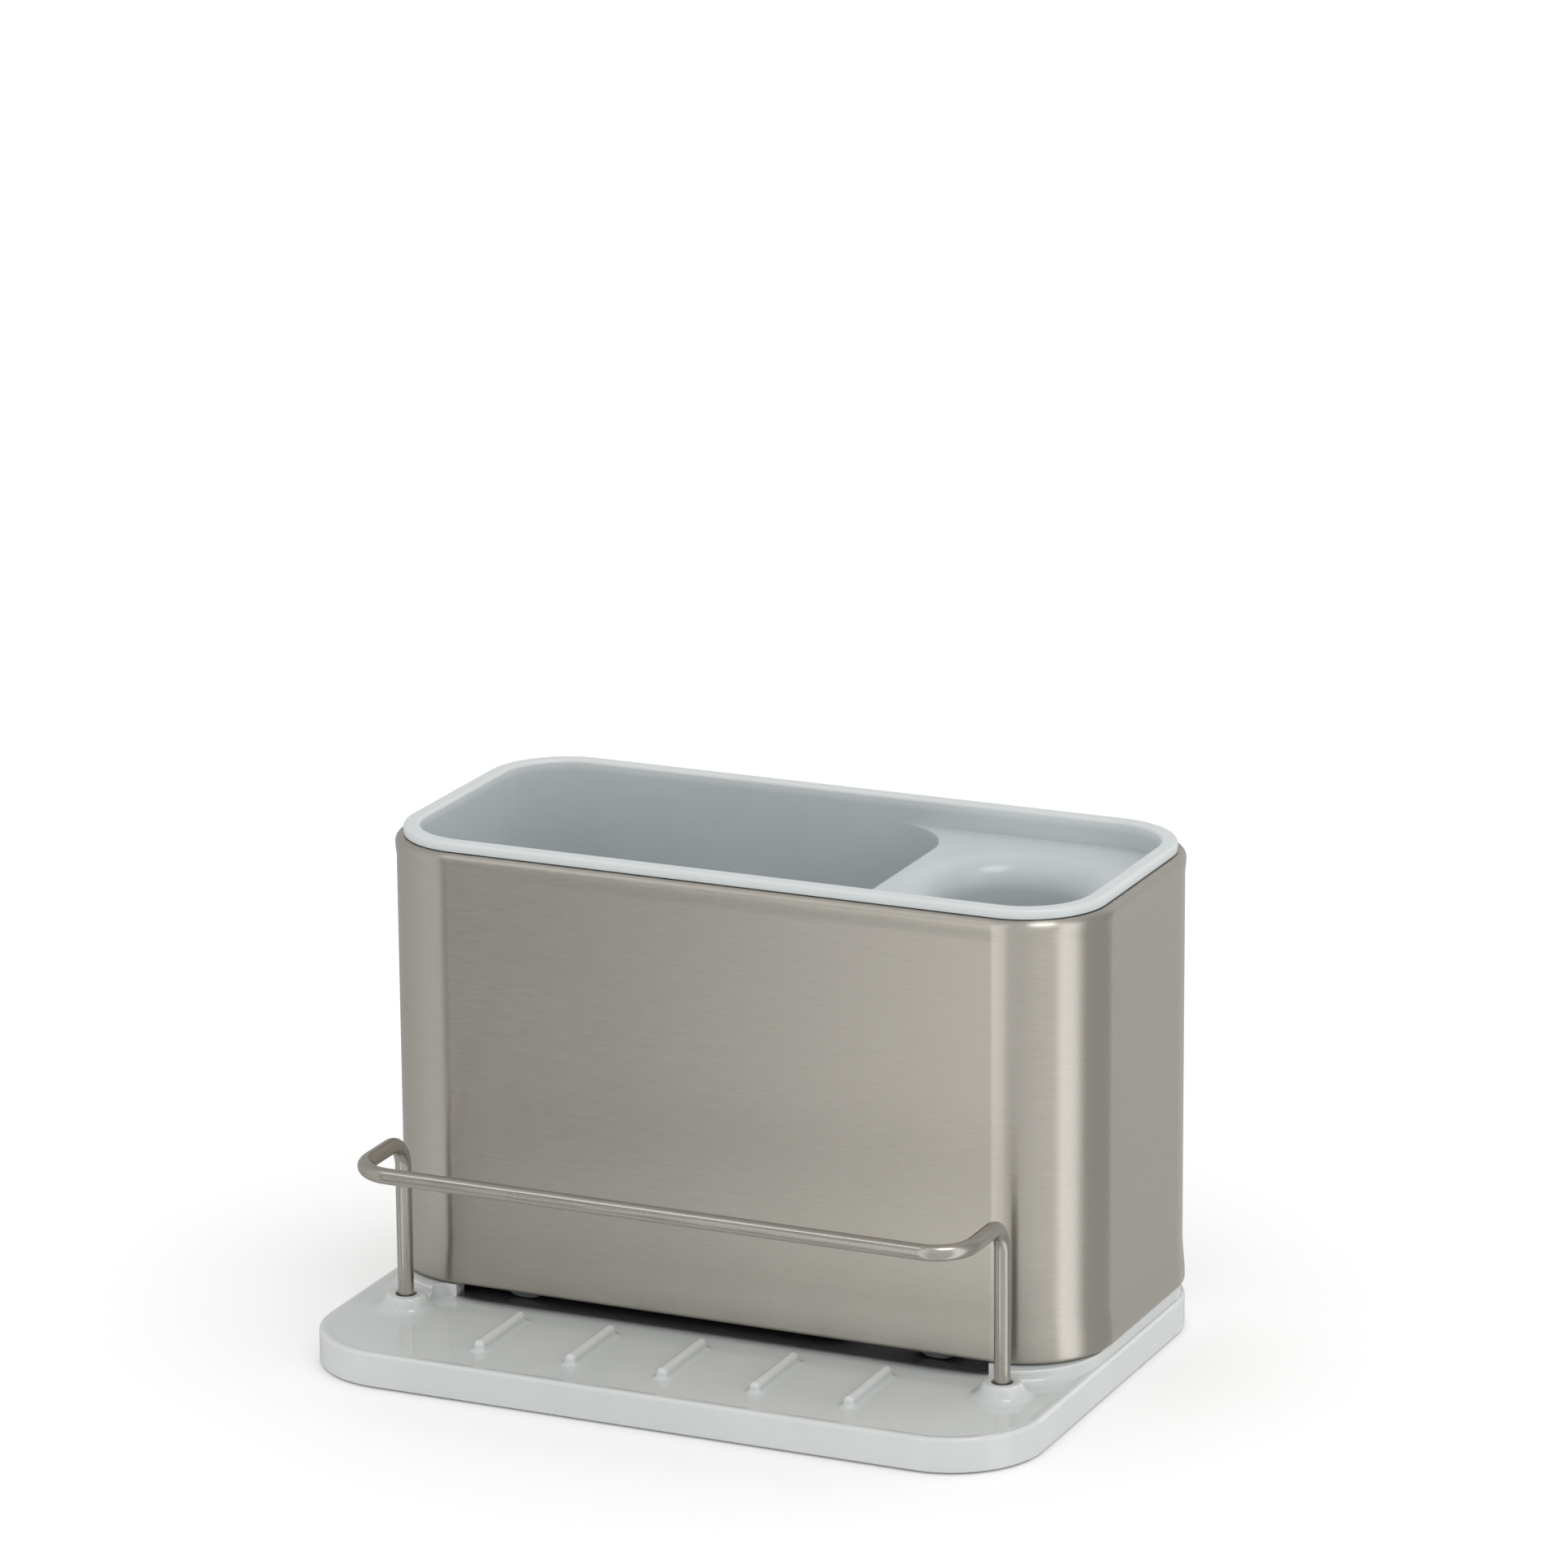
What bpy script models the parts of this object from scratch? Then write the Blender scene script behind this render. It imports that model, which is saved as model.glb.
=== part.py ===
"""Sink organizer: drip tray on rubber feet, brushed steel sleeve, lift-out caddy and wire rail.

Metres, +Z up, front towards -Y. The world origin is on the surface that the feet stand on, under the
middle of the tray. Each piece is modelled about its own seat and is parented to the piece that carries it,
so every piece that lifts off moves along its own +Z.
"""

import math

import bmesh
import bpy
from mathutils import Vector

# Gaps: between faces that rest on each other, and round a piece that lifts out
SEAT = 0.0003
FIT = 0.0004
# How far a joined shape is sunk into the one it joins, and how far a cutter stands clear of what it cuts
SINK = 0.0006
CLEAR = 0.0012
# What keeps two cuts apart that would otherwise share a wall
HAIR = 0.00001

# Steps in a quarter turn: large plan corners, small plan corners and edge roundings seen in section
CORNER_STEPS = 9
SMALL_CORNER_STEPS = 3
ROUND_STEPS = 3
RIDGE_STEPS = 2
# Points round a large and a small turned shape
TURN_POINTS = 36
SMALL_TURN_POINTS = 20
# Facets that meet at more than this angle keep a hard edge in shading
HARD_EDGE = math.radians(35)
# The widest corner radius, as a share of the outline's shorter side
WIDEST_CORNER = 0.49

# Drip tray
TRAY_WIDTH = 0.1900
TRAY_DEPTH = 0.1350
TRAY_HEIGHT = 0.0085
TRAY_CORNER = 0.0236
TRAY_EDGE = 0.0010
TRAY_HEEL = 0.0008
LIP_FLAT = 0.0003
DISH_DEPTH = 0.0005
DISH_RUN = 0.0024
TRAY_SKIN = 0.0025
SKIRT_WALL = 0.0022
WEB_WALL = 0.0014
WEB_PITCH = 0.0190
CROSS_WEB_COUNT = 2

# Rubber feet under the tray
FOOT_RADIUS = 0.0060
FOOT_PROUD = 0.0005
FOOT_POCKET = 0.0015
FOOT_EDGE = 0.0005
FOOT_INSET = 0.0150
FOOT_PAD_WALL = 0.0020

# Steel sleeve
SLEEVE_INSET = 0.0008
SLEEVE_DEPTH = 0.0880
SLEEVE_HEIGHT = 0.1107
SLEEVE_CORNER = 0.0224
SHEET = 0.0008
BEAD_RISE = 0.00065
BEAD_HEIGHT = 0.0056
BEAD_ROLL = 0.0022
HEM_REACH = 0.0024

# Platform that the sleeve stands on, part of the tray, and the share of its slope that its shoulder takes
PLATFORM_RISE = 0.0031
PLATFORM_SIDE_INSET = 0.0016
PLATFORM_SIDE_RUN = 0.0009
PLATFORM_FRONT_LEDGE = 0.0038
PLATFORM_FRONT_RUN = 0.0042
SHOULDER_SHARE = 0.15
UPSTAND_RISE = 0.0035
UPSTAND_WALL = 0.0016
UPSTAND_EDGE = 0.0004
DRAIN_WIDTH = 0.1430
LEDGE_GAP = 0.1530
LEDGE_GAP_CORNER = 0.0025

# Ribs before the sleeve, which keep what stands there off the wet dish
SPONGE_RIB_COUNT = 5
SPONGE_RIB_PITCH = 0.0245
SPONGE_RIB_WIDTH = 0.0024
SPONGE_RIB_RISE = 0.0026
SPONGE_RIB_FLARE = 0.0019
SPONGE_RIB_RIDGE = 0.0007
SPONGE_RIB_FRONT_GAP = 0.01275
SPONGE_RIB_BACK_GAP = 0.00895

# Wire rail, its sockets and the bosses round them
WIRE = 0.0040
WIRE_ROUNDNESS = 4
RAIL_SPAN = 0.1594
RAIL_OFFSET = 0.0112
RAIL_REACH = 0.0270
RAIL_RISE = 0.0436
RAIL_LEG_BEND = 0.0070
RAIL_CORNER_BEND = 0.0095
BOSS_RISE = 0.0035
BOSS_FOOT = 0.0084
BOSS_FLARE = 0.0030
BOSS_SHOULDER = 0.0012
BOSS_STEEPNESS = math.radians(60)
SOCKET_DEPTH = 0.0095
SOCKET_FIT = 0.00025
SOCKET_MOUTH_FIT = 0.00080
SOCKET_ROUND = 0.0003
SOCKET_WALL = 0.0020

# Plastic caddy
RIM_INSET = 0.0018
RIM_WIDTH = 0.0042
RIM_THICK = 0.0023
RIM_ROUND = 0.0009
CADDY_WALL = 0.0020
CADDY_HEEL = 0.0015
DRAFT = math.radians(1.0)
COVE = 0.0040
DECK_DROP = 0.0067
DECK_EDGE = 0.0010
BRUSH_BAY = 0.0585
BAY_CORNER = 0.0175
WELL_MOUTH = 0.0270
WELL_FUNNEL = 0.0080
CORE_CORNER = 0.0030
TAB_HEIGHT = 0.0039
TAB_WIDTH = 0.0120
TAB_NOSE = 0.0050
TAB_WALL = 0.0028
TAB_SPREAD = 0.1110
SLOT_WIDTH = 0.0032
SLOT_LENGTH = 0.0180
SLOT_PITCH = 0.0240
SLOT_ROW_PITCH = 0.0250
SLOT_ROWS = 2
SLOT_COLUMNS = 4
WELL_HOLE = 0.0018
WELL_HOLE_RING = 0.0095
WELL_HOLE_COUNT = 5

# Places worked out from the sizes above, in the tray's own frame, whose z is 0 at the foot of the skirt
DISH_Z = TRAY_HEIGHT - DISH_DEPTH
PLATFORM_Z = DISH_Z + PLATFORM_RISE
SLEEVE_HALF = TRAY_WIDTH / 2 - SLEEVE_INSET
SLEEVE_BACK = TRAY_DEPTH / 2 - SLEEVE_INSET
SLEEVE_FRONT = SLEEVE_BACK - SLEEVE_DEPTH
SLEEVE_Y = (SLEEVE_FRONT + SLEEVE_BACK) / 2
SLEEVE_Z = PLATFORM_Z + SEAT
RAIL_Y = SLEEVE_FRONT - RAIL_OFFSET
BOSS_Z = DISH_Z + BOSS_RISE
SOCKET_Z = BOSS_Z - SOCKET_DEPTH
RAIL_Z = SOCKET_Z + SEAT
FOOT_POINTS = {
    "front_left": (FOOT_INSET - TRAY_WIDTH / 2, FOOT_INSET - TRAY_DEPTH / 2),
    "front_right": (TRAY_WIDTH / 2 - FOOT_INSET, FOOT_INSET - TRAY_DEPTH / 2),
    "rear_left": (FOOT_INSET - TRAY_WIDTH / 2, TRAY_DEPTH / 2 - FOOT_INSET),
    "rear_right": (TRAY_WIDTH / 2 - FOOT_INSET, TRAY_DEPTH / 2 - FOOT_INSET),
}

# Places in the caddy's own frame, whose z is 0 under its rim and whose y is 0 at the sleeve's middle
RIM_HALF = SLEEVE_HALF - RIM_INSET
RIM_HALF_DEPTH = SLEEVE_DEPTH / 2 - RIM_INSET
RIM_CORNER = SLEEVE_CORNER - RIM_INSET
DECK_Z = RIM_THICK - DECK_DROP
CADDY_Z = SLEEVE_HEIGHT + SEAT
CADDY_DEPTH = SLEEVE_Z + CADDY_Z - DISH_Z - SEAT - TAB_HEIGHT
FLOOR_Z = CADDY_WALL - CADDY_DEPTH


def slant(z):
    """How far a moulded wall has leaned in at this depth below the rim's top."""
    return math.tan(DRAFT) * (RIM_THICK - z)


BAY_LEFT = RIM_HALF - RIM_WIDTH - slant(DECK_Z) - BRUSH_BAY
WELL_X = BAY_LEFT + BRUSH_BAY / 2
WELL_RADIUS = WELL_MOUTH - WELL_FUNNEL


def clear_scene():
    for obj in list(bpy.data.objects):
        bpy.data.objects.remove(obj, do_unlink=True)


def material(name, colour, roughness, metallic=0.0):
    made = bpy.data.materials.new(name)
    made.use_nodes = True
    surface = made.node_tree.nodes["Principled BSDF"]
    surface.inputs["Base Color"].default_value = (*colour, 1.0)
    surface.inputs["Roughness"].default_value = roughness
    surface.inputs["Metallic"].default_value = metallic
    return made


def tray_plastic():
    return material("tray_plastic", (0.69, 0.73, 0.72), 0.18)


def caddy_plastic():
    return material("caddy_plastic", (0.66, 0.72, 0.74), 0.28)


def brushed_steel():
    return material("brushed_steel", (0.56, 0.54, 0.51), 0.30, metallic=1.0)


def rail_steel():
    return material("rail_steel", (0.58, 0.55, 0.50), 0.24, metallic=1.0)


def foot_rubber():
    return material("foot_rubber", (0.30, 0.31, 0.31), 0.75)


def arc(steps):
    """Angles of a quarter turn, both ends included."""
    return [math.pi / 2 * i / steps for i in range(steps + 1)]


def outline(left, right, front, back, radii, z, steps=CORNER_STEPS):
    """Anticlockwise rounded rectangle at height z; radii run from front right to front left."""
    widest = WIDEST_CORNER * min(right - left, back - front)
    corners = ((right, front, -1, 1), (right, back, -1, -1), (left, back, 1, -1), (left, front, 1, 1))
    points = []
    for turn, ((x, y, to_x, to_y), wanted) in enumerate(zip(corners, radii)):
        radius = min(wanted, widest)
        for angle in arc(steps):
            bearing = angle + (turn - 1) * math.pi / 2
            points.append(
                Vector(
                    (
                        x + radius * (to_x + math.cos(bearing)),
                        y + radius * (to_y + math.sin(bearing)),
                        z,
                    )
                )
            )
    return points


def even_outline(half_width, front, back, radius, z):
    """Rounded rectangle about x = 0 with four like corners."""
    return outline(-half_width, half_width, front, back, [radius] * 4, z)


def tray_ring(inset, z):
    front = inset - TRAY_DEPTH / 2
    return even_outline(TRAY_WIDTH / 2 - inset, front, -front, TRAY_CORNER - inset, z)


def sleeve_ring(offset, z):
    """The sleeve's outline about its own middle, moved outwards by offset."""
    front = -SLEEVE_DEPTH / 2 - offset
    return even_outline(SLEEVE_HALF + offset, front, -front, SLEEVE_CORNER + offset, z)


def rim_ring(inset, z):
    """The caddy rim's outer outline, moved inwards by inset."""
    front = inset - RIM_HALF_DEPTH
    return even_outline(RIM_HALF - inset, front, -front, RIM_CORNER - inset, z)


def turned(x, y, profile, points=SMALL_TURN_POINTS):
    """Rings of a turned shape from (radius, z) pairs."""
    turns = [2 * math.pi * i / points for i in range(points)]
    return [
        [Vector((x + radius * math.cos(a), y + radius * math.sin(a), z)) for a in turns]
        for radius, z in profile
    ]


def box(left, right, front, back, bottom, top):
    corners = ((left, front), (right, front), (right, back), (left, back))
    return [[Vector((x, y, z)) for x, y in corners] for z in (bottom, top)]


def solid(name, shells, closed=False):
    """An object whose mesh skins each list of rings; the end rings are capped, or joined when closed."""
    built = bmesh.new()
    for rings in shells:
        loops = [[built.verts.new(point) for point in ring] for ring in rings]
        pairs = list(zip(loops, loops[1:]))
        if closed:
            pairs.append((loops[-1], loops[0]))
        else:
            built.faces.new(loops[0])
            built.faces.new(loops[-1])
        for lower, upper in pairs:
            for i in range(len(lower)):
                j = (i + 1) % len(lower)
                built.faces.new((lower[i], lower[j], upper[j], upper[i]))
    bmesh.ops.recalc_face_normals(built, faces=built.faces)
    mesh = bpy.data.meshes.new(name)
    built.to_mesh(mesh)
    built.free()
    mesh.shade_smooth()
    mesh.set_sharp_from_angle(angle=HARD_EDGE)
    obj = bpy.data.objects.new(name, mesh)
    bpy.context.scene.collection.objects.link(obj)
    return obj


def combine(target, helper, operation):
    """Adds a Boolean of target with helper, which then is only a guide."""
    helper.hide_render = True
    helper.display_type = "WIRE"
    helper.parent = target
    modifier = target.modifiers.new(helper.name, "BOOLEAN")
    modifier.operation = operation
    modifier.solver = "EXACT"
    modifier.object = helper


def join(target, helper):
    combine(target, helper, "UNION")


def cut(target, helper):
    combine(target, helper, "DIFFERENCE")


def tray_shell():
    """Skirt, rounded edge, narrow lip and the gentle slope down to the dish."""
    heel = [(TRAY_HEEL * (1 - math.sin(a)), TRAY_HEEL * (1 - math.cos(a))) for a in arc(ROUND_STEPS)]
    edge_foot = TRAY_HEIGHT - TRAY_EDGE
    edge = [
        (TRAY_EDGE * (1 - math.cos(a)), edge_foot + TRAY_EDGE * math.sin(a))
        for a in arc(ROUND_STEPS + 1)
    ]
    dish_start = TRAY_EDGE + LIP_FLAT
    slope = [
        (dish_start + DISH_RUN * 2 * a / math.pi, DISH_Z + DISH_DEPTH * (1 + math.cos(2 * a)) / 2)
        for a in arc(ROUND_STEPS + 1)
    ]
    return solid("base_tray", [[tray_ring(inset, z) for inset, z in heel + edge + slope]])


def hollow_under_tray():
    return solid("tray_hollow", [[tray_ring(SKIRT_WALL, z) for z in (-CLEAR, DISH_Z - TRAY_SKIN)]])


def skirt_reach(across, half_width, half_depth):
    """Half the tray's length along one axis at a distance across the other, to the middle of the skirt."""
    past_corner = abs(across) - (half_width - TRAY_CORNER)
    drop = 0.0
    if past_corner > 0:
        drop = TRAY_CORNER - math.sqrt(TRAY_CORNER**2 - past_corner**2)
    return half_depth - drop - SKIRT_WALL / 2


def webs_along_y():
    count = int((TRAY_WIDTH - 2 * SKIRT_WALL) / WEB_PITCH)
    shells = []
    for i in range(count):
        x = (i - (count - 1) / 2) * WEB_PITCH
        reach = skirt_reach(x, TRAY_WIDTH / 2, TRAY_DEPTH / 2)
        shells.append(box(x - WEB_WALL / 2, x + WEB_WALL / 2, -reach, reach, SINK, DISH_Z - TRAY_SKIN + SINK))
    return solid("tray_webs_along_y", shells)


def webs_along_x():
    pitch = TRAY_DEPTH / (CROSS_WEB_COUNT + 1)
    shells = []
    for i in range(CROSS_WEB_COUNT):
        y = (i - (CROSS_WEB_COUNT - 1) / 2) * pitch
        reach = skirt_reach(y, TRAY_DEPTH / 2, TRAY_WIDTH / 2)
        shells.append(box(-reach, reach, y - WEB_WALL / 2, y + WEB_WALL / 2, SINK, DISH_Z - TRAY_SKIN + SINK))
    return solid("tray_webs_along_x", shells)


def socket_centres():
    return [(side * RAIL_SPAN / 2, RAIL_Y) for side in (-1, 1)]


def socket_columns():
    """Posts from the tray's skin down to the floors of the rail's sockets."""
    radius = WIRE / 2 + SOCKET_MOUTH_FIT + SOCKET_WALL
    post = [(radius, SOCKET_Z - SOCKET_WALL), (radius, DISH_Z - TRAY_SKIN + SINK)]
    return solid("socket_columns", [turned(x, y, post) for x, y in socket_centres()])


def foot_pads():
    """Posts from the tray's skin down to the feet."""
    radius = FOOT_RADIUS + FIT + FOOT_PAD_WALL
    post = [(radius, 0.0), (radius, DISH_Z - TRAY_SKIN + SINK)]
    return solid("foot_pads", [turned(x, y, post) for x, y in FOOT_POINTS.values()])


def platform_ring(lean, z):
    """Plan of the platform's side: lean is 0 round its top and 1 round its foot."""
    half = TRAY_WIDTH / 2 - PLATFORM_SIDE_INSET + PLATFORM_SIDE_RUN * lean
    back = TRAY_DEPTH / 2 - PLATFORM_SIDE_INSET + PLATFORM_SIDE_RUN * lean
    front = SLEEVE_FRONT - PLATFORM_FRONT_LEDGE - PLATFORM_FRONT_RUN * lean
    rear_radius = TRAY_CORNER - PLATFORM_SIDE_INSET + PLATFORM_SIDE_RUN * lean
    front_radius = SLEEVE_CORNER + PLATFORM_SIDE_RUN * lean
    return outline(-half, half, front, back, (front_radius, rear_radius, rear_radius, front_radius), z)


def upstand_ring(inset, z):
    """Plan of the wall that stands inside the sleeve's hem, moved inwards by inset."""
    offset = HEM_REACH + FIT + inset
    front = SLEEVE_FRONT + offset
    return even_outline(SLEEVE_HALF - offset, front, SLEEVE_BACK - offset, SLEEVE_CORNER - offset, z)


def platform():
    """Ring with a hollow-curved side and a rounded shoulder, open at the front to let water out."""
    shoulder_z = PLATFORM_Z - PLATFORM_RISE * SHOULDER_SHARE * 2
    foot = [platform_ring(1.0, DISH_Z - SINK)]
    side = [
        platform_ring(
            1 - (1 - SHOULDER_SHARE) * math.sin(a),
            DISH_Z + (shoulder_z - DISH_Z) * (1 - math.cos(a)),
        )
        for a in arc(ROUND_STEPS + 1)
    ]
    shoulder = [
        platform_ring(
            SHOULDER_SHARE * math.cos(a),
            shoulder_z + (PLATFORM_Z - shoulder_z) * math.sin(a),
        )
        for a in arc(ROUND_STEPS)[1:]
    ]
    top = PLATFORM_Z + UPSTAND_RISE
    upstand = [
        upstand_ring(0.0, PLATFORM_Z),
        upstand_ring(0.0, top - UPSTAND_EDGE),
        upstand_ring(UPSTAND_EDGE, top),
        upstand_ring(UPSTAND_WALL - UPSTAND_EDGE, top),
        upstand_ring(UPSTAND_WALL, top - UPSTAND_EDGE),
        upstand_ring(UPSTAND_WALL, DISH_Z - SINK),
    ]
    ring = solid("tray_platform", [foot + side + shoulder + upstand], closed=True)
    cut(ring, drain_gap(top))
    cut(ring, ledge_gap())
    return ring


def drain_gap(top):
    """The way out for water, under the front of the sleeve."""
    front = SLEEVE_FRONT - PLATFORM_FRONT_LEDGE - PLATFORM_FRONT_RUN - CLEAR
    back = SLEEVE_FRONT + HEM_REACH + FIT + UPSTAND_WALL + CLEAR
    half = DRAIN_WIDTH / 2
    return solid("drain_gap", [box(-half, half, front, back, DISH_Z - SINK - CLEAR, top + CLEAR)])


def ledge_gap():
    """The wider gap in the ledge before the sleeve, which ends beside the rail's bosses."""
    front = SLEEVE_FRONT - PLATFORM_FRONT_LEDGE - PLATFORM_FRONT_RUN - LEDGE_GAP_CORNER - CLEAR
    half = LEDGE_GAP / 2
    edges = (-half, half, front, SLEEVE_FRONT)
    radii = [LEDGE_GAP_CORNER] * 4
    levels = (DISH_Z - SINK - CLEAR, PLATFORM_Z + CLEAR)
    return solid("ledge_gap", [[outline(*edges, radii, z, SMALL_CORNER_STEPS) for z in levels]])


def sponge_rib(x, front, back):
    """Rings of one rib: a flared foot all round, straight sides and a rounded ridge."""
    half_width = SPONGE_RIB_WIDTH / 2
    ridge = min(SPONGE_RIB_RIDGE, half_width)
    fillet = min(SPONGE_RIB_FLARE, SPONGE_RIB_RISE - ridge)
    levels = [(SPONGE_RIB_FLARE, -SINK)]
    levels += [(SPONGE_RIB_FLARE * (1 - math.sin(a)), fillet * (1 - math.cos(a))) for a in arc(ROUND_STEPS)]
    levels += [
        (-ridge * (1 - math.cos(a)), SPONGE_RIB_RISE - ridge * (1 - math.sin(a)))
        for a in arc(RIDGE_STEPS)
    ]
    rings = []
    for grow, z in levels:
        wide = half_width + grow
        edges = (x - wide, x + wide, front - grow, back + grow)
        rings.append(outline(*edges, [wide] * 4, DISH_Z + z, SMALL_CORNER_STEPS))
    return rings


def sponge_ribs():
    front = SPONGE_RIB_FRONT_GAP - TRAY_DEPTH / 2
    back = SLEEVE_FRONT - SPONGE_RIB_BACK_GAP
    first = -(SPONGE_RIB_COUNT - 1) / 2
    return solid(
        "tray_sponge_ribs",
        [sponge_rib((first + i) * SPONGE_RIB_PITCH, front, back) for i in range(SPONGE_RIB_COUNT)],
    )


def bosses():
    """Bell-shaped collars round the rail's sockets."""
    lean = [BOSS_STEEPNESS * i / ROUND_STEPS for i in range(ROUND_STEPS + 1)]
    profile = [(BOSS_FOOT, DISH_Z - SINK)]
    profile += [
        (BOSS_FOOT - BOSS_FLARE * math.sin(a), DISH_Z + BOSS_FLARE * (1 - math.cos(a)))
        for a in lean
    ]
    radius, z = profile[-1]
    shoulder_z = BOSS_Z - BOSS_SHOULDER * (1 - math.cos(BOSS_STEEPNESS))
    rim = radius - (shoulder_z - z) / math.tan(BOSS_STEEPNESS) - BOSS_SHOULDER * math.sin(BOSS_STEEPNESS)
    profile += [
        (rim + BOSS_SHOULDER * math.sin(a), BOSS_Z - BOSS_SHOULDER * (1 - math.cos(a)))
        for a in reversed(lean)
    ]
    return solid("tray_bosses", [turned(x, y, profile) for x, y in socket_centres()])


def tray_bores():
    """The rail's tapered sockets with rounded mouths, and the pockets for the feet."""
    mouth = WIRE / 2 + SOCKET_MOUTH_FIT
    socket = [(WIRE / 2 + SOCKET_FIT, SOCKET_Z)]
    socket += [
        (mouth + SOCKET_ROUND * (1 - math.cos(a)), BOSS_Z - SOCKET_ROUND * (1 - math.sin(a)))
        for a in arc(ROUND_STEPS)
    ]
    socket.append((mouth + SOCKET_ROUND, BOSS_Z + CLEAR))
    pocket_radius = FOOT_RADIUS + FIT
    pocket = [(pocket_radius, -CLEAR), (pocket_radius, FOOT_POCKET)]
    shells = [turned(x, y, socket) for x, y in socket_centres()]
    shells += [turned(x, y, pocket) for x, y in FOOT_POINTS.values()]
    return solid("tray_bores", shells)


def base_tray():
    tray = tray_shell()
    cut(tray, hollow_under_tray())
    join(tray, webs_along_y())
    join(tray, webs_along_x())
    join(tray, socket_columns())
    join(tray, foot_pads())
    join(tray, platform())
    join(tray, sponge_ribs())
    join(tray, bosses())
    cut(tray, tray_bores())
    tray.data.materials.append(tray_plastic())
    tray.location = (0.0, 0.0, FOOT_PROUD)
    return tray


def feet(tray):
    """Round rubber feet, each pressed into its pocket under the tray."""
    top = FOOT_PROUD + FOOT_POCKET - SEAT
    profile = [
        (FOOT_RADIUS - FOOT_EDGE * (1 - math.sin(a)), FOOT_EDGE * (1 - math.cos(a)))
        for a in arc(ROUND_STEPS)
    ]
    profile.append((FOOT_RADIUS, top))
    rubber = foot_rubber()
    for place, (x, y) in FOOT_POINTS.items():
        foot = solid(f"foot_{place}", [turned(0.0, 0.0, profile)])
        foot.data.materials.append(rubber)
        foot.parent = tray
        foot.location = (x, y, -FOOT_PROUD)


def sheet_line():
    """The sheet's middle line in section, bottom hem to top hem, as (offset from the wall's face, z)."""
    skin = SHEET / 2
    roll_x = BEAD_RISE - skin - BEAD_ROLL
    lower = [(-HEM_REACH, skin)]
    lower += [
        (roll_x + BEAD_ROLL * math.sin(a), skin + BEAD_ROLL * (1 - math.cos(a)))
        for a in arc(ROUND_STEPS)
    ]
    start = skin + BEAD_ROLL
    lower += [
        (BEAD_RISE * (1 + math.cos(2 * a)) / 2 - skin, start + (BEAD_HEIGHT - start) * 2 * a / math.pi)
        for a in arc(ROUND_STEPS)[1:]
    ]
    return lower + [(offset, SLEEVE_HEIGHT - z) for offset, z in reversed(lower)]


def steel_sleeve(tray):
    """Seamless sheet wall with a rolled bead and an inward hem at both edges."""
    line = [Vector(point) for point in sheet_line()]
    faces = []
    for i, point in enumerate(line):
        along = (line[min(i + 1, len(line) - 1)] - line[max(i - 1, 0)]).normalized()
        across = Vector((along.y, -along.x)) * SHEET / 2
        faces.append((point + across, point - across))
    loop = [outer for outer, _ in faces] + [inner for _, inner in reversed(faces)]
    sleeve = solid("steel_sleeve", [[sleeve_ring(offset, z) for offset, z in loop]], closed=True)
    sleeve.data.materials.append(brushed_steel())
    sleeve.parent = tray
    sleeve.location = (0.0, SLEEVE_Y, SLEEVE_Z)
    return sleeve


def caddy_shell():
    """Outer wall, rim and the shallow recess down to the deck, as one moulded block."""
    outer = RIM_WIDTH - CADDY_WALL
    base = outer + slant(-CADDY_DEPTH)
    levels = [
        (base + CADDY_HEEL * (1 - math.sin(a)), CADDY_HEEL * (1 - math.cos(a)) - CADDY_DEPTH)
        for a in arc(ROUND_STEPS)
    ]
    levels += [(outer + slant(0.0), 0.0), (0.0, 0.0)]
    levels += [
        (RIM_ROUND * (1 - math.cos(a)), RIM_THICK - RIM_ROUND * (1 - math.sin(a)))
        for a in arc(ROUND_STEPS)
    ]
    levels += [
        (RIM_WIDTH - RIM_ROUND * (1 - math.sin(a)), RIM_THICK - RIM_ROUND * (1 - math.cos(a)))
        for a in arc(ROUND_STEPS)
    ]
    levels.append((RIM_WIDTH + slant(DECK_Z), DECK_Z))
    return solid("inner_caddy", [[rim_ring(inset, z) for inset, z in levels]])


def compartment():
    """The space of the large bay: drafted walls with a cove round the floor."""

    def ring(grow, z, spread=0.0):
        inset = RIM_WIDTH + slant(z) + grow
        half = RIM_HALF_DEPTH - inset
        right = BAY_LEFT - slant(z) + slant(DECK_Z) - grow + spread
        corner = RIM_CORNER - inset
        bay_corner = BAY_CORNER - grow + spread
        return outline(inset - RIM_HALF, right, -half, half, (bay_corner, bay_corner, corner, corner), z)

    rings = [
        ring(HAIR + COVE * (1 - math.sin(a)), FLOOR_Z + COVE * (1 - math.cos(a)))
        for a in arc(ROUND_STEPS + 1)
    ]
    rings += [
        ring(HAIR, DECK_Z - DECK_EDGE * (1 - math.sin(a)), DECK_EDGE * (1 - math.cos(a)))
        for a in arc(ROUND_STEPS)
    ]
    rings.append([point + Vector((0.0, 0.0, CLEAR)) for point in rings[-1]])
    return solid("caddy_compartment", [rings])


def well_profile(skin):
    """Section of the round well, from the floor's edge to the deck, moved outwards by skin."""
    turn_z = DECK_Z - WELL_FUNNEL
    foot_radius = WELL_RADIUS - slant(FLOOR_Z) + slant(turn_z) + skin
    funnel = WELL_FUNNEL - skin
    profile = [
        (foot_radius - COVE * (1 - math.sin(a)), FLOOR_Z + COVE * (1 - math.cos(a)))
        for a in arc(ROUND_STEPS)
    ]
    profile += [
        (WELL_MOUTH - funnel * math.cos(a), turn_z + funnel * math.sin(a))
        for a in arc(ROUND_STEPS + 2)
    ]
    return profile


def brush_well():
    profile = well_profile(0.0)
    profile.append((WELL_MOUTH, DECK_Z + CLEAR))
    return solid("caddy_well", [turned(WELL_X, 0.0, profile, TURN_POINTS)])


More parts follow.
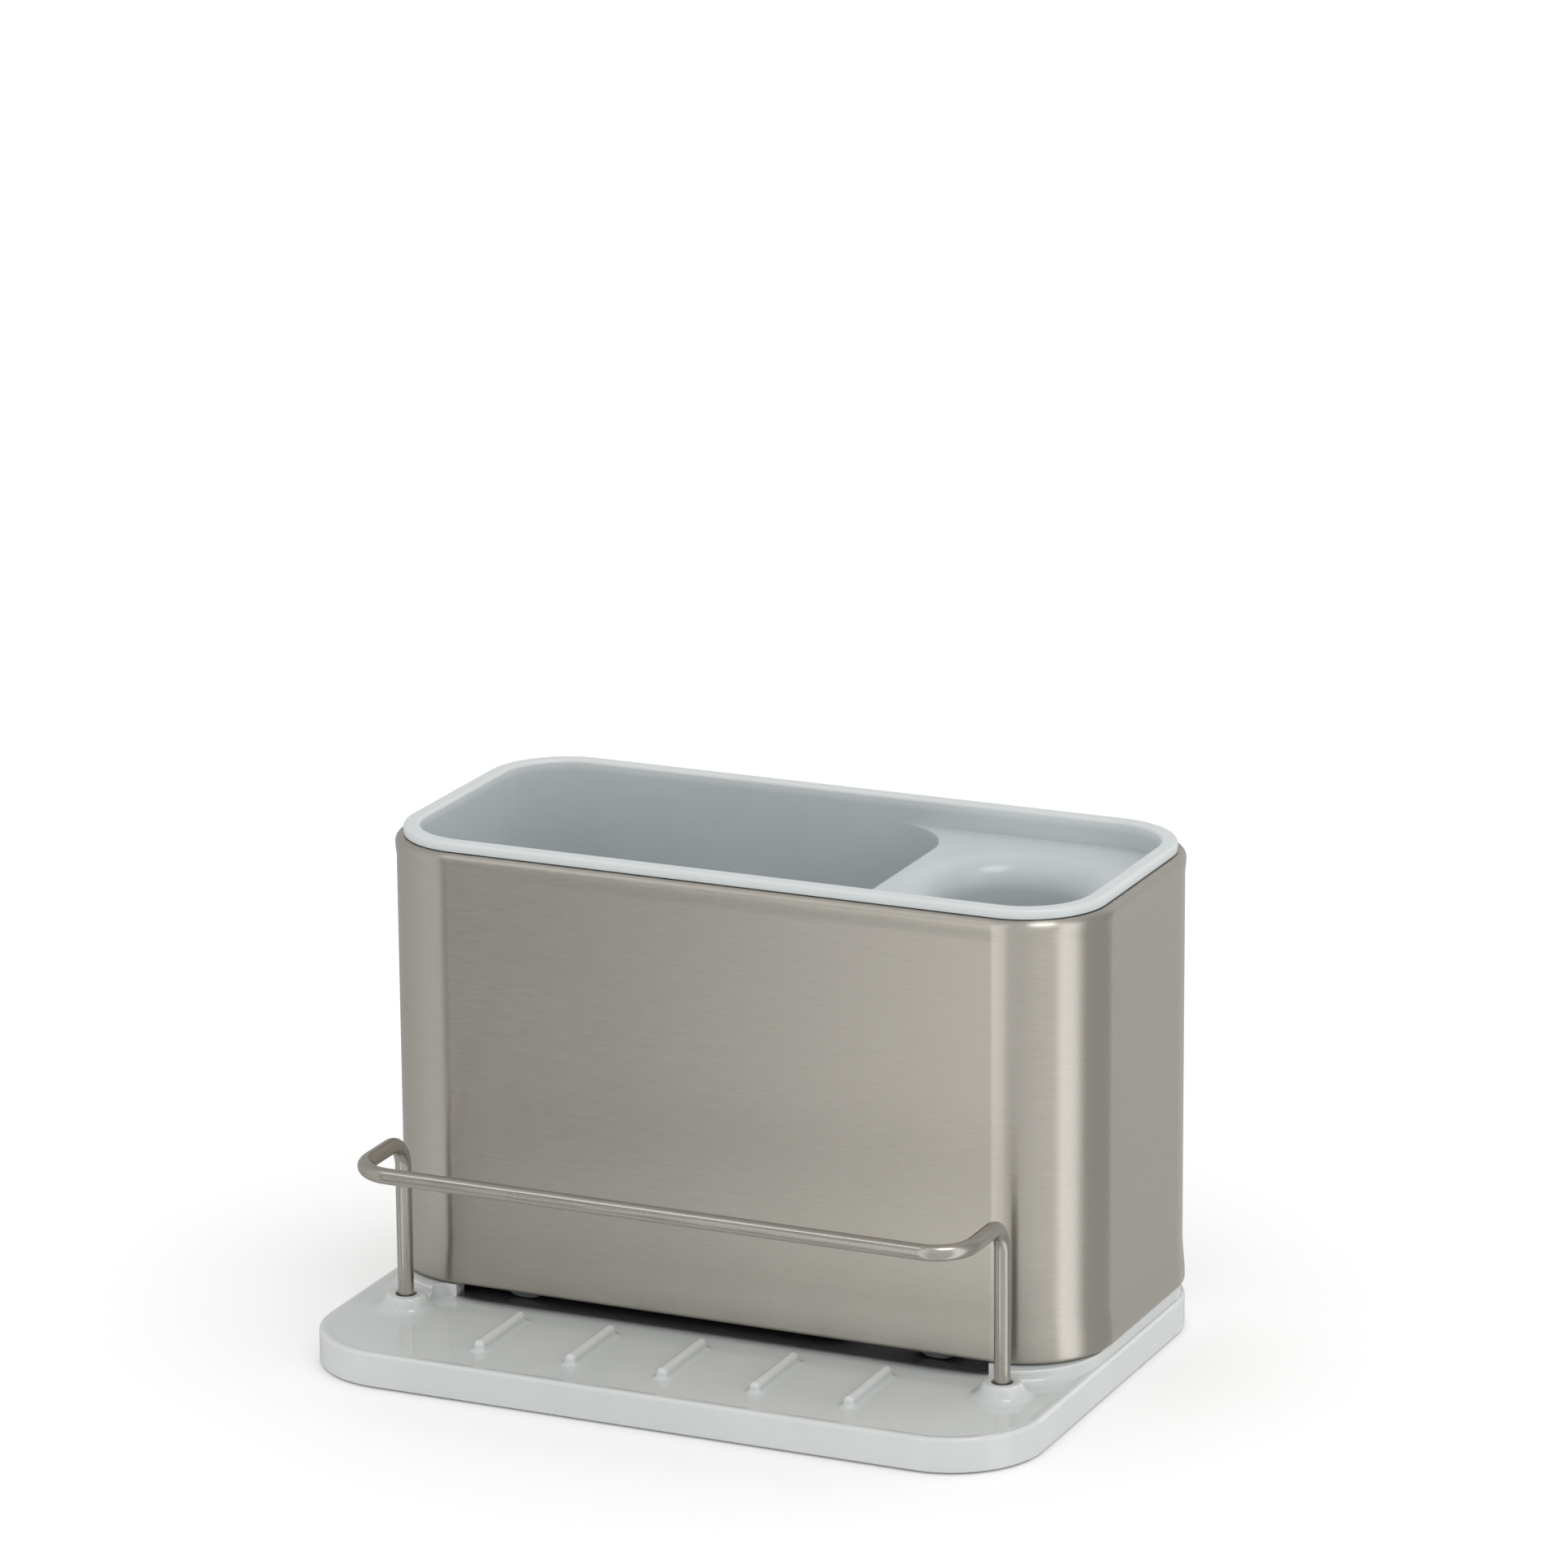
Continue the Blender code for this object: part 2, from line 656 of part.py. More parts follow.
def core_under_deck():
    """The hollow round the well, open below, that the moulding's core leaves under the deck."""
    inset = RIM_WIDTH + slant(-CADDY_DEPTH)
    half = RIM_HALF_DEPTH - inset
    corner = RIM_CORNER - inset
    rings = []
    for z in (-CADDY_DEPTH - CLEAR, DECK_Z - CADDY_WALL):
        left = BAY_LEFT + CADDY_WALL + slant(DECK_Z) - slant(max(z, -CADDY_DEPTH))
        radii = (corner, corner, CORE_CORNER, CORE_CORNER)
        rings.append(outline(left, RIM_HALF - inset, -half, half, radii, z))
    core = solid("caddy_core", [rings])
    skin = well_profile(CADDY_WALL)
    skin[0] = (skin[0][0], -CADDY_DEPTH - 2 * CLEAR)
    skin.append((WELL_MOUTH, DECK_Z))
    cut(core, solid("well_skin", [turned(WELL_X, 0.0, skin, TURN_POINTS)]))
    return core


def drain_holes():
    """Slots in the compartment's floor and a ring of holes in the well's floor."""
    bottom = -CADDY_DEPTH - CLEAR
    top = FLOOR_Z + CLEAR
    middle = (BAY_LEFT - RIM_HALF + RIM_WIDTH) / 2
    shells = []
    for row in range(SLOT_ROWS):
        for column in range(SLOT_COLUMNS):
            x = middle + (column - (SLOT_COLUMNS - 1) / 2) * SLOT_PITCH
            y = (row - (SLOT_ROWS - 1) / 2) * SLOT_ROW_PITCH
            half_width = SLOT_WIDTH / 2
            half_length = SLOT_LENGTH / 2
            edges = (x - half_width, x + half_width, y - half_length, y + half_length)
            shells.append([outline(*edges, [half_width] * 4, z, SMALL_CORNER_STEPS) for z in (bottom, top)])
    for i in range(WELL_HOLE_COUNT):
        turn = 2 * math.pi * i / WELL_HOLE_COUNT
        x = WELL_X + WELL_HOLE_RING * math.cos(turn)
        y = WELL_HOLE_RING * math.sin(turn)
        shells.append(turned(x, y, [(WELL_HOLE, bottom), (WELL_HOLE, top)], SMALL_TURN_POINTS // 2))
    return solid("caddy_drains", shells)


def support_tabs():
    """Rounded tabs under the front and back walls, on which the caddy's weight can rest."""
    wall = RIM_HALF_DEPTH - RIM_WIDTH + CADDY_WALL / 2 - slant(-CADDY_DEPTH)
    shells = []
    for x in (-TAB_SPREAD / 2, TAB_SPREAD / 2):
        for y in (-wall, wall):
            rings = []
            for a in arc(ROUND_STEPS):
                half = (TAB_NOSE + (TAB_WIDTH - TAB_NOSE) * math.sin(a)) / 2
                z = -CADDY_DEPTH - TAB_HEIGHT * math.cos(a)
                edges = (x - half, x + half, y - TAB_WALL / 2, y + TAB_WALL / 2)
                rings.append(outline(*edges, [TAB_WALL / 2] * 4, z, SMALL_CORNER_STEPS))
            rings.append([point + Vector((0.0, 0.0, CADDY_HEEL)) for point in rings[-1]])
            shells.append(rings)
    return solid("caddy_tabs", shells)


def inner_caddy(sleeve):
    caddy = caddy_shell()
    cut(caddy, compartment())
    cut(caddy, core_under_deck())
    cut(caddy, brush_well())
    join(caddy, support_tabs())
    cut(caddy, drain_holes())
    caddy.data.materials.append(caddy_plastic())
    caddy.parent = sleeve
    caddy.location = (0.0, 0.0, CADDY_Z)
    return caddy


def bend(before, corner, after, radius):
    """Points of a round bend of this radius where two straight runs meet at corner."""
    back = (before - corner).normalized()
    ahead = (after - corner).normalized()
    half_angle = back.angle(ahead) / 2
    centre = corner + (back + ahead).normalized() * radius / math.sin(half_angle)
    start = corner + back * radius / math.tan(half_angle) - centre
    end = corner + ahead * radius / math.tan(half_angle) - centre
    steps = 2 * ROUND_STEPS
    return [centre + radius * start.slerp(end, i / steps) for i in range(steps + 1)]


def sponge_rail(tray):
    """One wire: two legs, two arms that reach forward and the front bar between them."""
    top = DISH_Z + RAIL_RISE - RAIL_Z
    half = RAIL_SPAN / 2
    corners = [
        Vector((-half, 0.0, 0.0)),
        Vector((-half, 0.0, top)),
        Vector((-half, -RAIL_REACH, top)),
        Vector((half, -RAIL_REACH, top)),
        Vector((half, 0.0, top)),
        Vector((half, 0.0, 0.0)),
    ]
    radii = (RAIL_LEG_BEND, RAIL_CORNER_BEND, RAIL_CORNER_BEND, RAIL_LEG_BEND)
    route = [corners[0]]
    for i, radius in enumerate(radii):
        route += bend(corners[i], corners[i + 1], corners[i + 2], radius)
    route.append(corners[-1])
    wire = bpy.data.curves.new("sponge_rail", "CURVE")
    wire.dimensions = "3D"
    wire.bevel_depth = WIRE / 2
    wire.bevel_resolution = WIRE_ROUNDNESS
    wire.use_fill_caps = True
    line = wire.splines.new("POLY")
    line.points.add(len(route) - 1)
    for point, place in zip(line.points, route):
        point.co = (*place, 1.0)
    wire.materials.append(rail_steel())
    rail = bpy.data.objects.new("sponge_rail", wire)
    bpy.context.scene.collection.objects.link(rail)
    rail.parent = tray
    rail.location = (0.0, RAIL_Y, RAIL_Z)
    return rail


def build():
    clear_scene()
    tray = base_tray()
    feet(tray)
    sleeve = steel_sleeve(tray)
    inner_caddy(sleeve)
    sponge_rail(tray)


build()
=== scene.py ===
"""The looks of the sink organizer: finer meshes of its pieces, their finishes, a plain studio and the camera.

Metres, +Z up, front towards -Y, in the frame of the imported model. Each piece has the form of the solid that
it stands for, with rounder corners and edges, and its place and main sizes come from that solid's box.
"""

import math

import bmesh
import bpy
from mathutils import Matrix, Vector


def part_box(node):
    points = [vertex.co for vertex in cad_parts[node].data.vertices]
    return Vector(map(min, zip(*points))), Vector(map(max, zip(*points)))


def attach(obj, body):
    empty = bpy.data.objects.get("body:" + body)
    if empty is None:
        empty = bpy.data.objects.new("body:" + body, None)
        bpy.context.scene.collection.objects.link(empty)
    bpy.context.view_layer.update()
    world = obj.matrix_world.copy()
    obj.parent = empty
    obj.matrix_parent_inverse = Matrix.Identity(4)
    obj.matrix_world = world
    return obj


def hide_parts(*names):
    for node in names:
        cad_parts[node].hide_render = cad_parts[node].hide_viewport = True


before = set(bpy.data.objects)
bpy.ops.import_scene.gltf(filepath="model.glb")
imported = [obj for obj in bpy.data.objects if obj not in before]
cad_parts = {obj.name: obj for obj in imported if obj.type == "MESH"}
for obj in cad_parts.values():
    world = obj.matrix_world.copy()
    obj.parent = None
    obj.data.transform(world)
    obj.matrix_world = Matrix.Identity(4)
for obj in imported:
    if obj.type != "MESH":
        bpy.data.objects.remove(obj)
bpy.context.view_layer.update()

TRAY_LOW, TRAY_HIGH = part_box("base_tray")
SLEEVE_LOW, SLEEVE_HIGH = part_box("steel_sleeve")
CADDY_LOW, CADDY_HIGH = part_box("inner_caddy")
RAIL_LOW, RAIL_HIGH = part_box("sponge_rail")

# Gaps: between faces that rest on each other, and round a piece that lifts out
SEAT = 0.0003
FIT = 0.0004
# How far a joined shape is sunk into the one it joins, and how far a cutter stands clear of what it cuts
SINK = 0.0006
CLEAR = 0.0012
# What keeps two cuts apart that would otherwise share a wall
HAIR = 0.00001

# Steps in a quarter turn of large and of small corners seen in plan
CORNER_STEPS = 24
SMALL_CORNER_STEPS = 8
# Steps in a quarter turn seen in section: most roundings, the tray's edge and slopes and the caddy's cove,
# the round well's funnel, the sleeve's beads, and the ridges of the ribs
ROUND_STEPS = 6
SLOPE_STEPS = 7
FUNNEL_STEPS = 8
BEAD_STEPS = 12
RIDGE_STEPS = 5
# Steps in a bend of the wire
BEND_STEPS = 20
# Points round large turned shapes, small ones and drain holes, and round the wire
TURN_POINTS = 96
SMALL_TURN_POINTS = 56
HOLE_POINTS = 28
WIRE_POINTS = 28
# Facets that meet at more than this angle keep a hard edge in shading; otherwise the largest set its normals
HARD_EDGE = math.radians(38)
LARGEST_FACES = 100
# The widest corner radius, as a share of the outline's shorter side
WIDEST_CORNER = 0.49

# Drip tray
TRAY_WIDTH = TRAY_HIGH.x - TRAY_LOW.x
TRAY_DEPTH = TRAY_HIGH.y - TRAY_LOW.y
TRAY_HEIGHT = 0.0085
TRAY_CORNER = 0.0236
TRAY_EDGE = 0.0010
TRAY_HEEL = 0.0004
LIP_FLAT = 0.0003
DISH_DEPTH = 0.0005
DISH_RUN = 0.0024
TRAY_SKIN = 0.0025
SKIRT_WALL = 0.0022
WEB_WALL = 0.0014
WEB_PITCH = 0.0190
CROSS_WEB_COUNT = 2

# Rubber feet under the tray
FOOT_EDGE = 0.0005
FOOT_POCKET = 0.0015
FOOT_PAD_WALL = 0.0020

# Steel sleeve
SHEET = 0.0008
BEAD_RISE = 0.00065
BEAD_HEIGHT = 0.0120
BEAD_ROLL = 0.0008
TOP_BEAD_RISE = 0.00030
TOP_BEAD_HEIGHT = 0.0056
TOP_BEAD_ROLL = 0.0014
HEM_REACH = 0.0024
SLEEVE_CORNER = 0.0224
SLEEVE_HEIGHT = SLEEVE_HIGH.z - SLEEVE_LOW.z
SLEEVE_DEPTH = SLEEVE_HIGH.y - SLEEVE_LOW.y - 2 * BEAD_RISE

# Platform that the sleeve stands on, part of the tray
PLATFORM_SIDE_INSET = 0.0016
PLATFORM_SIDE_RUN = 0.0014
PLATFORM_FRONT_LEDGE = 0.0038
PLATFORM_FRONT_RUN = 0.0042
# Shares of its side's run and of its rise that its shoulder takes
SHOULDER_SHARE = 0.15
SHOULDER_RISE_SHARE = 0.30
UPSTAND_WALL = 0.0016
UPSTAND_EDGE = 0.0004
DRAIN_WIDTH = 0.1430
LEDGE_GAP = 0.1530
LEDGE_GAP_CORNER = 0.0025

# Ribs before the sleeve, which keep what stands there off the wet dish
SPONGE_RIB_COUNT = 5
SPONGE_RIB_PITCH = 0.0245
SPONGE_RIB_WIDTH = 0.0028
SPONGE_RIB_RISE = 0.0026
SPONGE_RIB_FLARE = 0.0015
SPONGE_RIB_RIDGE = 0.0013
SPONGE_RIB_FRONT_GAP = 0.01275
SPONGE_RIB_BACK_GAP = 0.00895

# Wire rail, its sockets and the bosses round them
WIRE = 0.0040
WIRE_EDGE = 0.0003
RAIL_LEG_BEND = 0.0070
RAIL_CORNER_BEND = 0.0095
BOSS_RISE = 0.0035
BOSS_FOOT = 0.0084
BOSS_FLARE = 0.0030
BOSS_SHOULDER = 0.0012
BOSS_STEEPNESS = math.radians(60)
SOCKET_FIT = 0.00025
SOCKET_MOUTH_FIT = 0.00060
SOCKET_ROUND = 0.0003
SOCKET_WALL = 0.0020

# Plastic caddy
RIM_WIDTH = 0.0042
RIM_THICK = 0.0023
RIM_ROUND = 0.0009
CADDY_WALL = 0.0020
CADDY_HEEL = 0.0015
DRAFT = math.radians(1.0)
COVE = 0.0040
DECK_DROP = 0.0067
DECK_EDGE = 0.0010
BRUSH_BAY = 0.0585
BAY_CORNER = 0.0175
WELL_MOUTH = 0.0270
WELL_FUNNEL = 0.0080
CORE_CORNER = 0.0030
TAB_HEIGHT = 0.0039
TAB_WIDTH = 0.0120
TAB_NOSE = 0.0050
TAB_WALL = 0.0028
TAB_SPREAD = 0.1110
SLOT_WIDTH = 0.0032
SLOT_LENGTH = 0.0180
SLOT_PITCH = 0.0240
SLOT_ROW_PITCH = 0.0250
SLOT_ROWS = 2
SLOT_COLUMNS = 4
WELL_HOLE = 0.0018
WELL_HOLE_RING = 0.0095
WELL_HOLE_COUNT = 5

# Places in the tray's own frame, whose z is 0 at the foot of the skirt
FOOT_PROUD = TRAY_LOW.z
DISH_Z = TRAY_HEIGHT - DISH_DEPTH
SLEEVE_Z = SLEEVE_LOW.z - FOOT_PROUD
PLATFORM_Z = SLEEVE_Z - SEAT
PLATFORM_RISE = PLATFORM_Z - DISH_Z
UPSTAND_RISE = TRAY_HIGH.z - FOOT_PROUD - PLATFORM_Z
SLEEVE_HALF = SLEEVE_HIGH.x - BEAD_RISE
SLEEVE_BACK = SLEEVE_HIGH.y - BEAD_RISE
SLEEVE_FRONT = SLEEVE_BACK - SLEEVE_DEPTH
SLEEVE_Y = (SLEEVE_FRONT + SLEEVE_BACK) / 2
RAIL_Y = RAIL_HIGH.y - WIRE / 2
RAIL_SPAN = RAIL_HIGH.x - RAIL_LOW.x - WIRE
RAIL_REACH = RAIL_HIGH.y - RAIL_LOW.y - WIRE
RAIL_Z = RAIL_LOW.z - FOOT_PROUD
SOCKET_Z = RAIL_Z - SEAT
BOSS_Z = DISH_Z + BOSS_RISE
FOOT_PLACES = ("front_left", "front_right", "rear_left", "rear_right")

# Places in the caddy's own frame, whose z is 0 under its rim and whose y is 0 at the sleeve's middle
RIM_HALF = CADDY_HIGH.x
RIM_HALF_DEPTH = (CADDY_HIGH.y - CADDY_LOW.y) / 2
RIM_CORNER = SLEEVE_CORNER - (SLEEVE_HALF - RIM_HALF)
DECK_Z = RIM_THICK - DECK_DROP
CADDY_DEPTH = CADDY_HIGH.z - CADDY_LOW.z - RIM_THICK - TAB_HEIGHT
FLOOR_Z = CADDY_WALL - CADDY_DEPTH


def slant(z):
    """How far a moulded wall has leaned in at this depth below the rim's top."""
    return math.tan(DRAFT) * (RIM_THICK - z)


BAY_LEFT = RIM_HALF - RIM_WIDTH - slant(DECK_Z) - BRUSH_BAY
WELL_X = BAY_LEFT + BRUSH_BAY / 2
WELL_RADIUS = WELL_MOUTH - WELL_FUNNEL


def arc(steps):
    """Angles of a quarter turn, both ends included."""
    return [math.pi / 2 * i / steps for i in range(steps + 1)]


def outline(left, right, front, back, radii, z, steps=CORNER_STEPS):
    """Anticlockwise rounded rectangle at height z; radii run from front right to front left."""
    widest = WIDEST_CORNER * min(right - left, back - front)
    corners = ((right, front, -1, 1), (right, back, -1, -1), (left, back, 1, -1), (left, front, 1, 1))
    points = []
    for turn, ((x, y, to_x, to_y), wanted) in enumerate(zip(corners, radii)):
        radius = min(wanted, widest)
        for angle in arc(steps):
            bearing = angle + (turn - 1) * math.pi / 2
            points.append(
                Vector(
                    (
                        x + radius * (to_x + math.cos(bearing)),
                        y + radius * (to_y + math.sin(bearing)),
                        z,
                    )
                )
            )
    return points


def even_outline(half_width, front, back, radius, z):
    """Rounded rectangle about x = 0 with four like corners."""
    return outline(-half_width, half_width, front, back, [radius] * 4, z)


def tray_ring(inset, z):
    front = inset - TRAY_DEPTH / 2
    return even_outline(TRAY_WIDTH / 2 - inset, front, -front, TRAY_CORNER - inset, z)


def sleeve_ring(offset, z):
    """The sleeve's outline about its own middle, moved outwards by offset."""
    front = -SLEEVE_DEPTH / 2 - offset
    return even_outline(SLEEVE_HALF + offset, front, -front, SLEEVE_CORNER + offset, z)


def rim_ring(inset, z):
    """The caddy rim's outer outline, moved inwards by inset."""
    front = inset - RIM_HALF_DEPTH
    return even_outline(RIM_HALF - inset, front, -front, RIM_CORNER - inset, z)


def turned(x, y, profile, points=SMALL_TURN_POINTS):
    """Rings of a turned shape from (radius, z) pairs."""
    turns = [2 * math.pi * i / points for i in range(points)]
    return [
        [Vector((x + radius * math.cos(a), y + radius * math.sin(a), z)) for a in turns]
        for radius, z in profile
    ]


def box(left, right, front, back, bottom, top):
    corners = ((left, front), (right, front), (right, back), (left, back))
    return [[Vector((x, y, z)) for x, y in corners] for z in (bottom, top)]


def solid(name, shells, closed=False):
    """An object whose mesh skins each list of rings; the end rings are capped, or joined when closed."""
    built = bmesh.new()
    for rings in shells:
        loops = [[built.verts.new(point) for point in ring] for ring in rings]
        pairs = list(zip(loops, loops[1:]))
        if closed:
            pairs.append((loops[-1], loops[0]))
        else:
            built.faces.new(loops[0])
            built.faces.new(loops[-1])
        for lower, upper in pairs:
            for i in range(len(lower)):
                j = (i + 1) % len(lower)
                built.faces.new((lower[i], lower[j], upper[j], upper[i]))
    bmesh.ops.recalc_face_normals(built, faces=built.faces)
    mesh = bpy.data.meshes.new(name)
    built.to_mesh(mesh)
    built.free()
    mesh.shade_smooth()
    obj = bpy.data.objects.new(name, mesh)
    bpy.context.scene.collection.objects.link(obj)
    return obj


def evaluated(obj):
    """A new mesh with the object's modifiers applied."""
    graph = bpy.context.evaluated_depsgraph_get()
    return bpy.data.meshes.new_from_object(obj.evaluated_get(graph))


def combine(target, helper, operation):
    """Makes the target's mesh its Boolean with helper, and removes the helper."""
    modifier = target.modifiers.new(helper.name, "BOOLEAN")
    modifier.operation = operation
    modifier.solver = "EXACT"
    modifier.object = helper
    mesh = evaluated(target)
    target.modifiers.clear()
    target.data = mesh
    bpy.data.objects.remove(helper)


def join(target, helper):
    combine(target, helper, "UNION")


def cut(target, helper):
    combine(target, helper, "DIFFERENCE")


def tray_shell():
    """Skirt, rounded edge, narrow lip and the gentle slope down to the dish."""
    heel = [(TRAY_HEEL * (1 - math.sin(a)), TRAY_HEEL * (1 - math.cos(a))) for a in arc(ROUND_STEPS)]
    edge_foot = TRAY_HEIGHT - TRAY_EDGE
    edge = [
        (TRAY_EDGE * (1 - math.cos(a)), edge_foot + TRAY_EDGE * math.sin(a))
        for a in arc(SLOPE_STEPS)
    ]
    dish_start = TRAY_EDGE + LIP_FLAT
    slope = [
        (dish_start + DISH_RUN * 2 * a / math.pi, DISH_Z + DISH_DEPTH * (1 + math.cos(2 * a)) / 2)
        for a in arc(SLOPE_STEPS)
    ]
    return solid("tray_moulding", [[tray_ring(inset, z) for inset, z in heel + edge + slope]])


def hollow_under_tray():
    return solid("tray_hollow", [[tray_ring(SKIRT_WALL, z) for z in (-CLEAR, DISH_Z - TRAY_SKIN)]])


def skirt_reach(across, half_width, half_depth):
    """Half the tray's length along one axis at a distance across the other, to the middle of the skirt."""
    past_corner = abs(across) - (half_width - TRAY_CORNER)
    drop = 0.0
    if past_corner > 0:
        drop = TRAY_CORNER - math.sqrt(TRAY_CORNER**2 - past_corner**2)
    return half_depth - drop - SKIRT_WALL / 2


def webs_along_y():
    count = int((TRAY_WIDTH - 2 * SKIRT_WALL) / WEB_PITCH)
    shells = []
    for i in range(count):
        x = (i - (count - 1) / 2) * WEB_PITCH
        reach = skirt_reach(x, TRAY_WIDTH / 2, TRAY_DEPTH / 2)
        shells.append(box(x - WEB_WALL / 2, x + WEB_WALL / 2, -reach, reach, SINK, DISH_Z - TRAY_SKIN + SINK))
    return solid("tray_webs_along_y", shells)


def webs_along_x():
    pitch = TRAY_DEPTH / (CROSS_WEB_COUNT + 1)
    shells = []
    for i in range(CROSS_WEB_COUNT):
        y = (i - (CROSS_WEB_COUNT - 1) / 2) * pitch
        reach = skirt_reach(y, TRAY_DEPTH / 2, TRAY_WIDTH / 2)
        shells.append(box(-reach, reach, y - WEB_WALL / 2, y + WEB_WALL / 2, SINK, DISH_Z - TRAY_SKIN + SINK))
    return solid("tray_webs_along_x", shells)


def foot_circle(place):
    """Centre and radius of the foot at this place, from its solid's box."""
    low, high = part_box(f"foot_{place}")
    return (low.x + high.x) / 2, (low.y + high.y) / 2, (high.x - low.x) / 2


def socket_centres():
    return [(side * RAIL_SPAN / 2, RAIL_Y) for side in (-1, 1)]


def socket_columns():
    """Posts from the tray's skin down to the floors of the rail's sockets."""
    radius = WIRE / 2 + SOCKET_MOUTH_FIT + SOCKET_WALL
    post = [(radius, SOCKET_Z - SOCKET_WALL), (radius, DISH_Z - TRAY_SKIN + SINK)]
    return solid("socket_columns", [turned(x, y, post) for x, y in socket_centres()])


def foot_pads():
    """Posts from the tray's skin down to the feet."""
    shells = []
    for place in FOOT_PLACES:
        x, y, foot_radius = foot_circle(place)
        radius = foot_radius + FIT + FOOT_PAD_WALL
        shells.append(turned(x, y, [(radius, 0.0), (radius, DISH_Z - TRAY_SKIN + SINK)]))
    return solid("foot_pads", shells)


def platform_ring(lean, z):
    """Plan of the platform's side: lean is 0 round its top and 1 round its foot."""
    half = TRAY_WIDTH / 2 - PLATFORM_SIDE_INSET + PLATFORM_SIDE_RUN * lean
    back = TRAY_DEPTH / 2 - PLATFORM_SIDE_INSET + PLATFORM_SIDE_RUN * lean
    front = SLEEVE_FRONT - PLATFORM_FRONT_LEDGE - PLATFORM_FRONT_RUN * lean
    rear_radius = TRAY_CORNER - PLATFORM_SIDE_INSET + PLATFORM_SIDE_RUN * lean
    front_radius = SLEEVE_CORNER + PLATFORM_SIDE_RUN * lean
    return outline(-half, half, front, back, (front_radius, rear_radius, rear_radius, front_radius), z)


def upstand_ring(inset, z):
    """Plan of the wall that stands inside the sleeve's hem, moved inwards by inset."""
    offset = HEM_REACH + FIT + inset
    front = SLEEVE_FRONT + offset
    return even_outline(SLEEVE_HALF - offset, front, SLEEVE_BACK - offset, SLEEVE_CORNER - offset, z)


def platform():
    """Ring with a hollow-curved side and a rounded shoulder, open at the front to let water out."""
    shoulder_z = PLATFORM_Z - PLATFORM_RISE * SHOULDER_RISE_SHARE
    foot = [platform_ring(1.0, DISH_Z - SINK)]
    side = [
        platform_ring(
            1 - (1 - SHOULDER_SHARE) * math.sin(a),
            DISH_Z + (shoulder_z - DISH_Z) * (1 - math.cos(a)),
        )
        for a in arc(SLOPE_STEPS)
    ]
    shoulder = [
        platform_ring(
            SHOULDER_SHARE * math.cos(a),
            shoulder_z + (PLATFORM_Z - shoulder_z) * math.sin(a),
        )
        for a in arc(ROUND_STEPS)[1:]
    ]
    top = PLATFORM_Z + UPSTAND_RISE
    upstand = [
        upstand_ring(0.0, PLATFORM_Z),
        upstand_ring(0.0, top - UPSTAND_EDGE),
        upstand_ring(UPSTAND_EDGE, top),
        upstand_ring(UPSTAND_WALL - UPSTAND_EDGE, top),
        upstand_ring(UPSTAND_WALL, top - UPSTAND_EDGE),
        upstand_ring(UPSTAND_WALL, DISH_Z - SINK),
    ]
    ring = solid("tray_platform", [foot + side + shoulder + upstand], closed=True)
    cut(ring, drain_gap(top))
    cut(ring, ledge_gap())
    return ring


def drain_gap(top):
    """The way out for water, under the front of the sleeve."""
    front = SLEEVE_FRONT - PLATFORM_FRONT_LEDGE - PLATFORM_FRONT_RUN - CLEAR
    back = SLEEVE_FRONT + HEM_REACH + FIT + UPSTAND_WALL + CLEAR
    half = DRAIN_WIDTH / 2
    return solid("drain_gap", [box(-half, half, front, back, DISH_Z - SINK - CLEAR, top + CLEAR)])


def ledge_gap():
    """The wider gap in the ledge before the sleeve, which ends beside the rail's bosses."""
    front = SLEEVE_FRONT - PLATFORM_FRONT_LEDGE - PLATFORM_FRONT_RUN - LEDGE_GAP_CORNER - CLEAR
    half = LEDGE_GAP / 2
    edges = (-half, half, front, SLEEVE_FRONT)
    radii = [LEDGE_GAP_CORNER] * 4
    levels = (DISH_Z - SINK - CLEAR, PLATFORM_Z + CLEAR)
    return solid("ledge_gap", [[outline(*edges, radii, z, SMALL_CORNER_STEPS) for z in levels]])


def sponge_rib(x, front, back):
    """Rings of one rib: a flared foot all round, straight sides and a rounded ridge."""
    half_width = SPONGE_RIB_WIDTH / 2
    ridge = min(SPONGE_RIB_RIDGE, half_width)
    fillet = min(SPONGE_RIB_FLARE, SPONGE_RIB_RISE - ridge)
    levels = [(SPONGE_RIB_FLARE, -SINK)]
    levels += [(SPONGE_RIB_FLARE * (1 - math.sin(a)), fillet * (1 - math.cos(a))) for a in arc(ROUND_STEPS)]
    levels += [
        (-ridge * (1 - math.cos(a)), SPONGE_RIB_RISE - ridge * (1 - math.sin(a)))
        for a in arc(RIDGE_STEPS)
    ]
    rings = []
    for grow, z in levels:
        wide = half_width + grow
        edges = (x - wide, x + wide, front - grow, back + grow)
        rings.append(outline(*edges, [wide] * 4, DISH_Z + z, SMALL_CORNER_STEPS))
    return rings


def sponge_ribs():
    front = SPONGE_RIB_FRONT_GAP - TRAY_DEPTH / 2
    back = SLEEVE_FRONT - SPONGE_RIB_BACK_GAP
    first = -(SPONGE_RIB_COUNT - 1) / 2
    return solid(
        "tray_sponge_ribs",
        [sponge_rib((first + i) * SPONGE_RIB_PITCH, front, back) for i in range(SPONGE_RIB_COUNT)],
    )


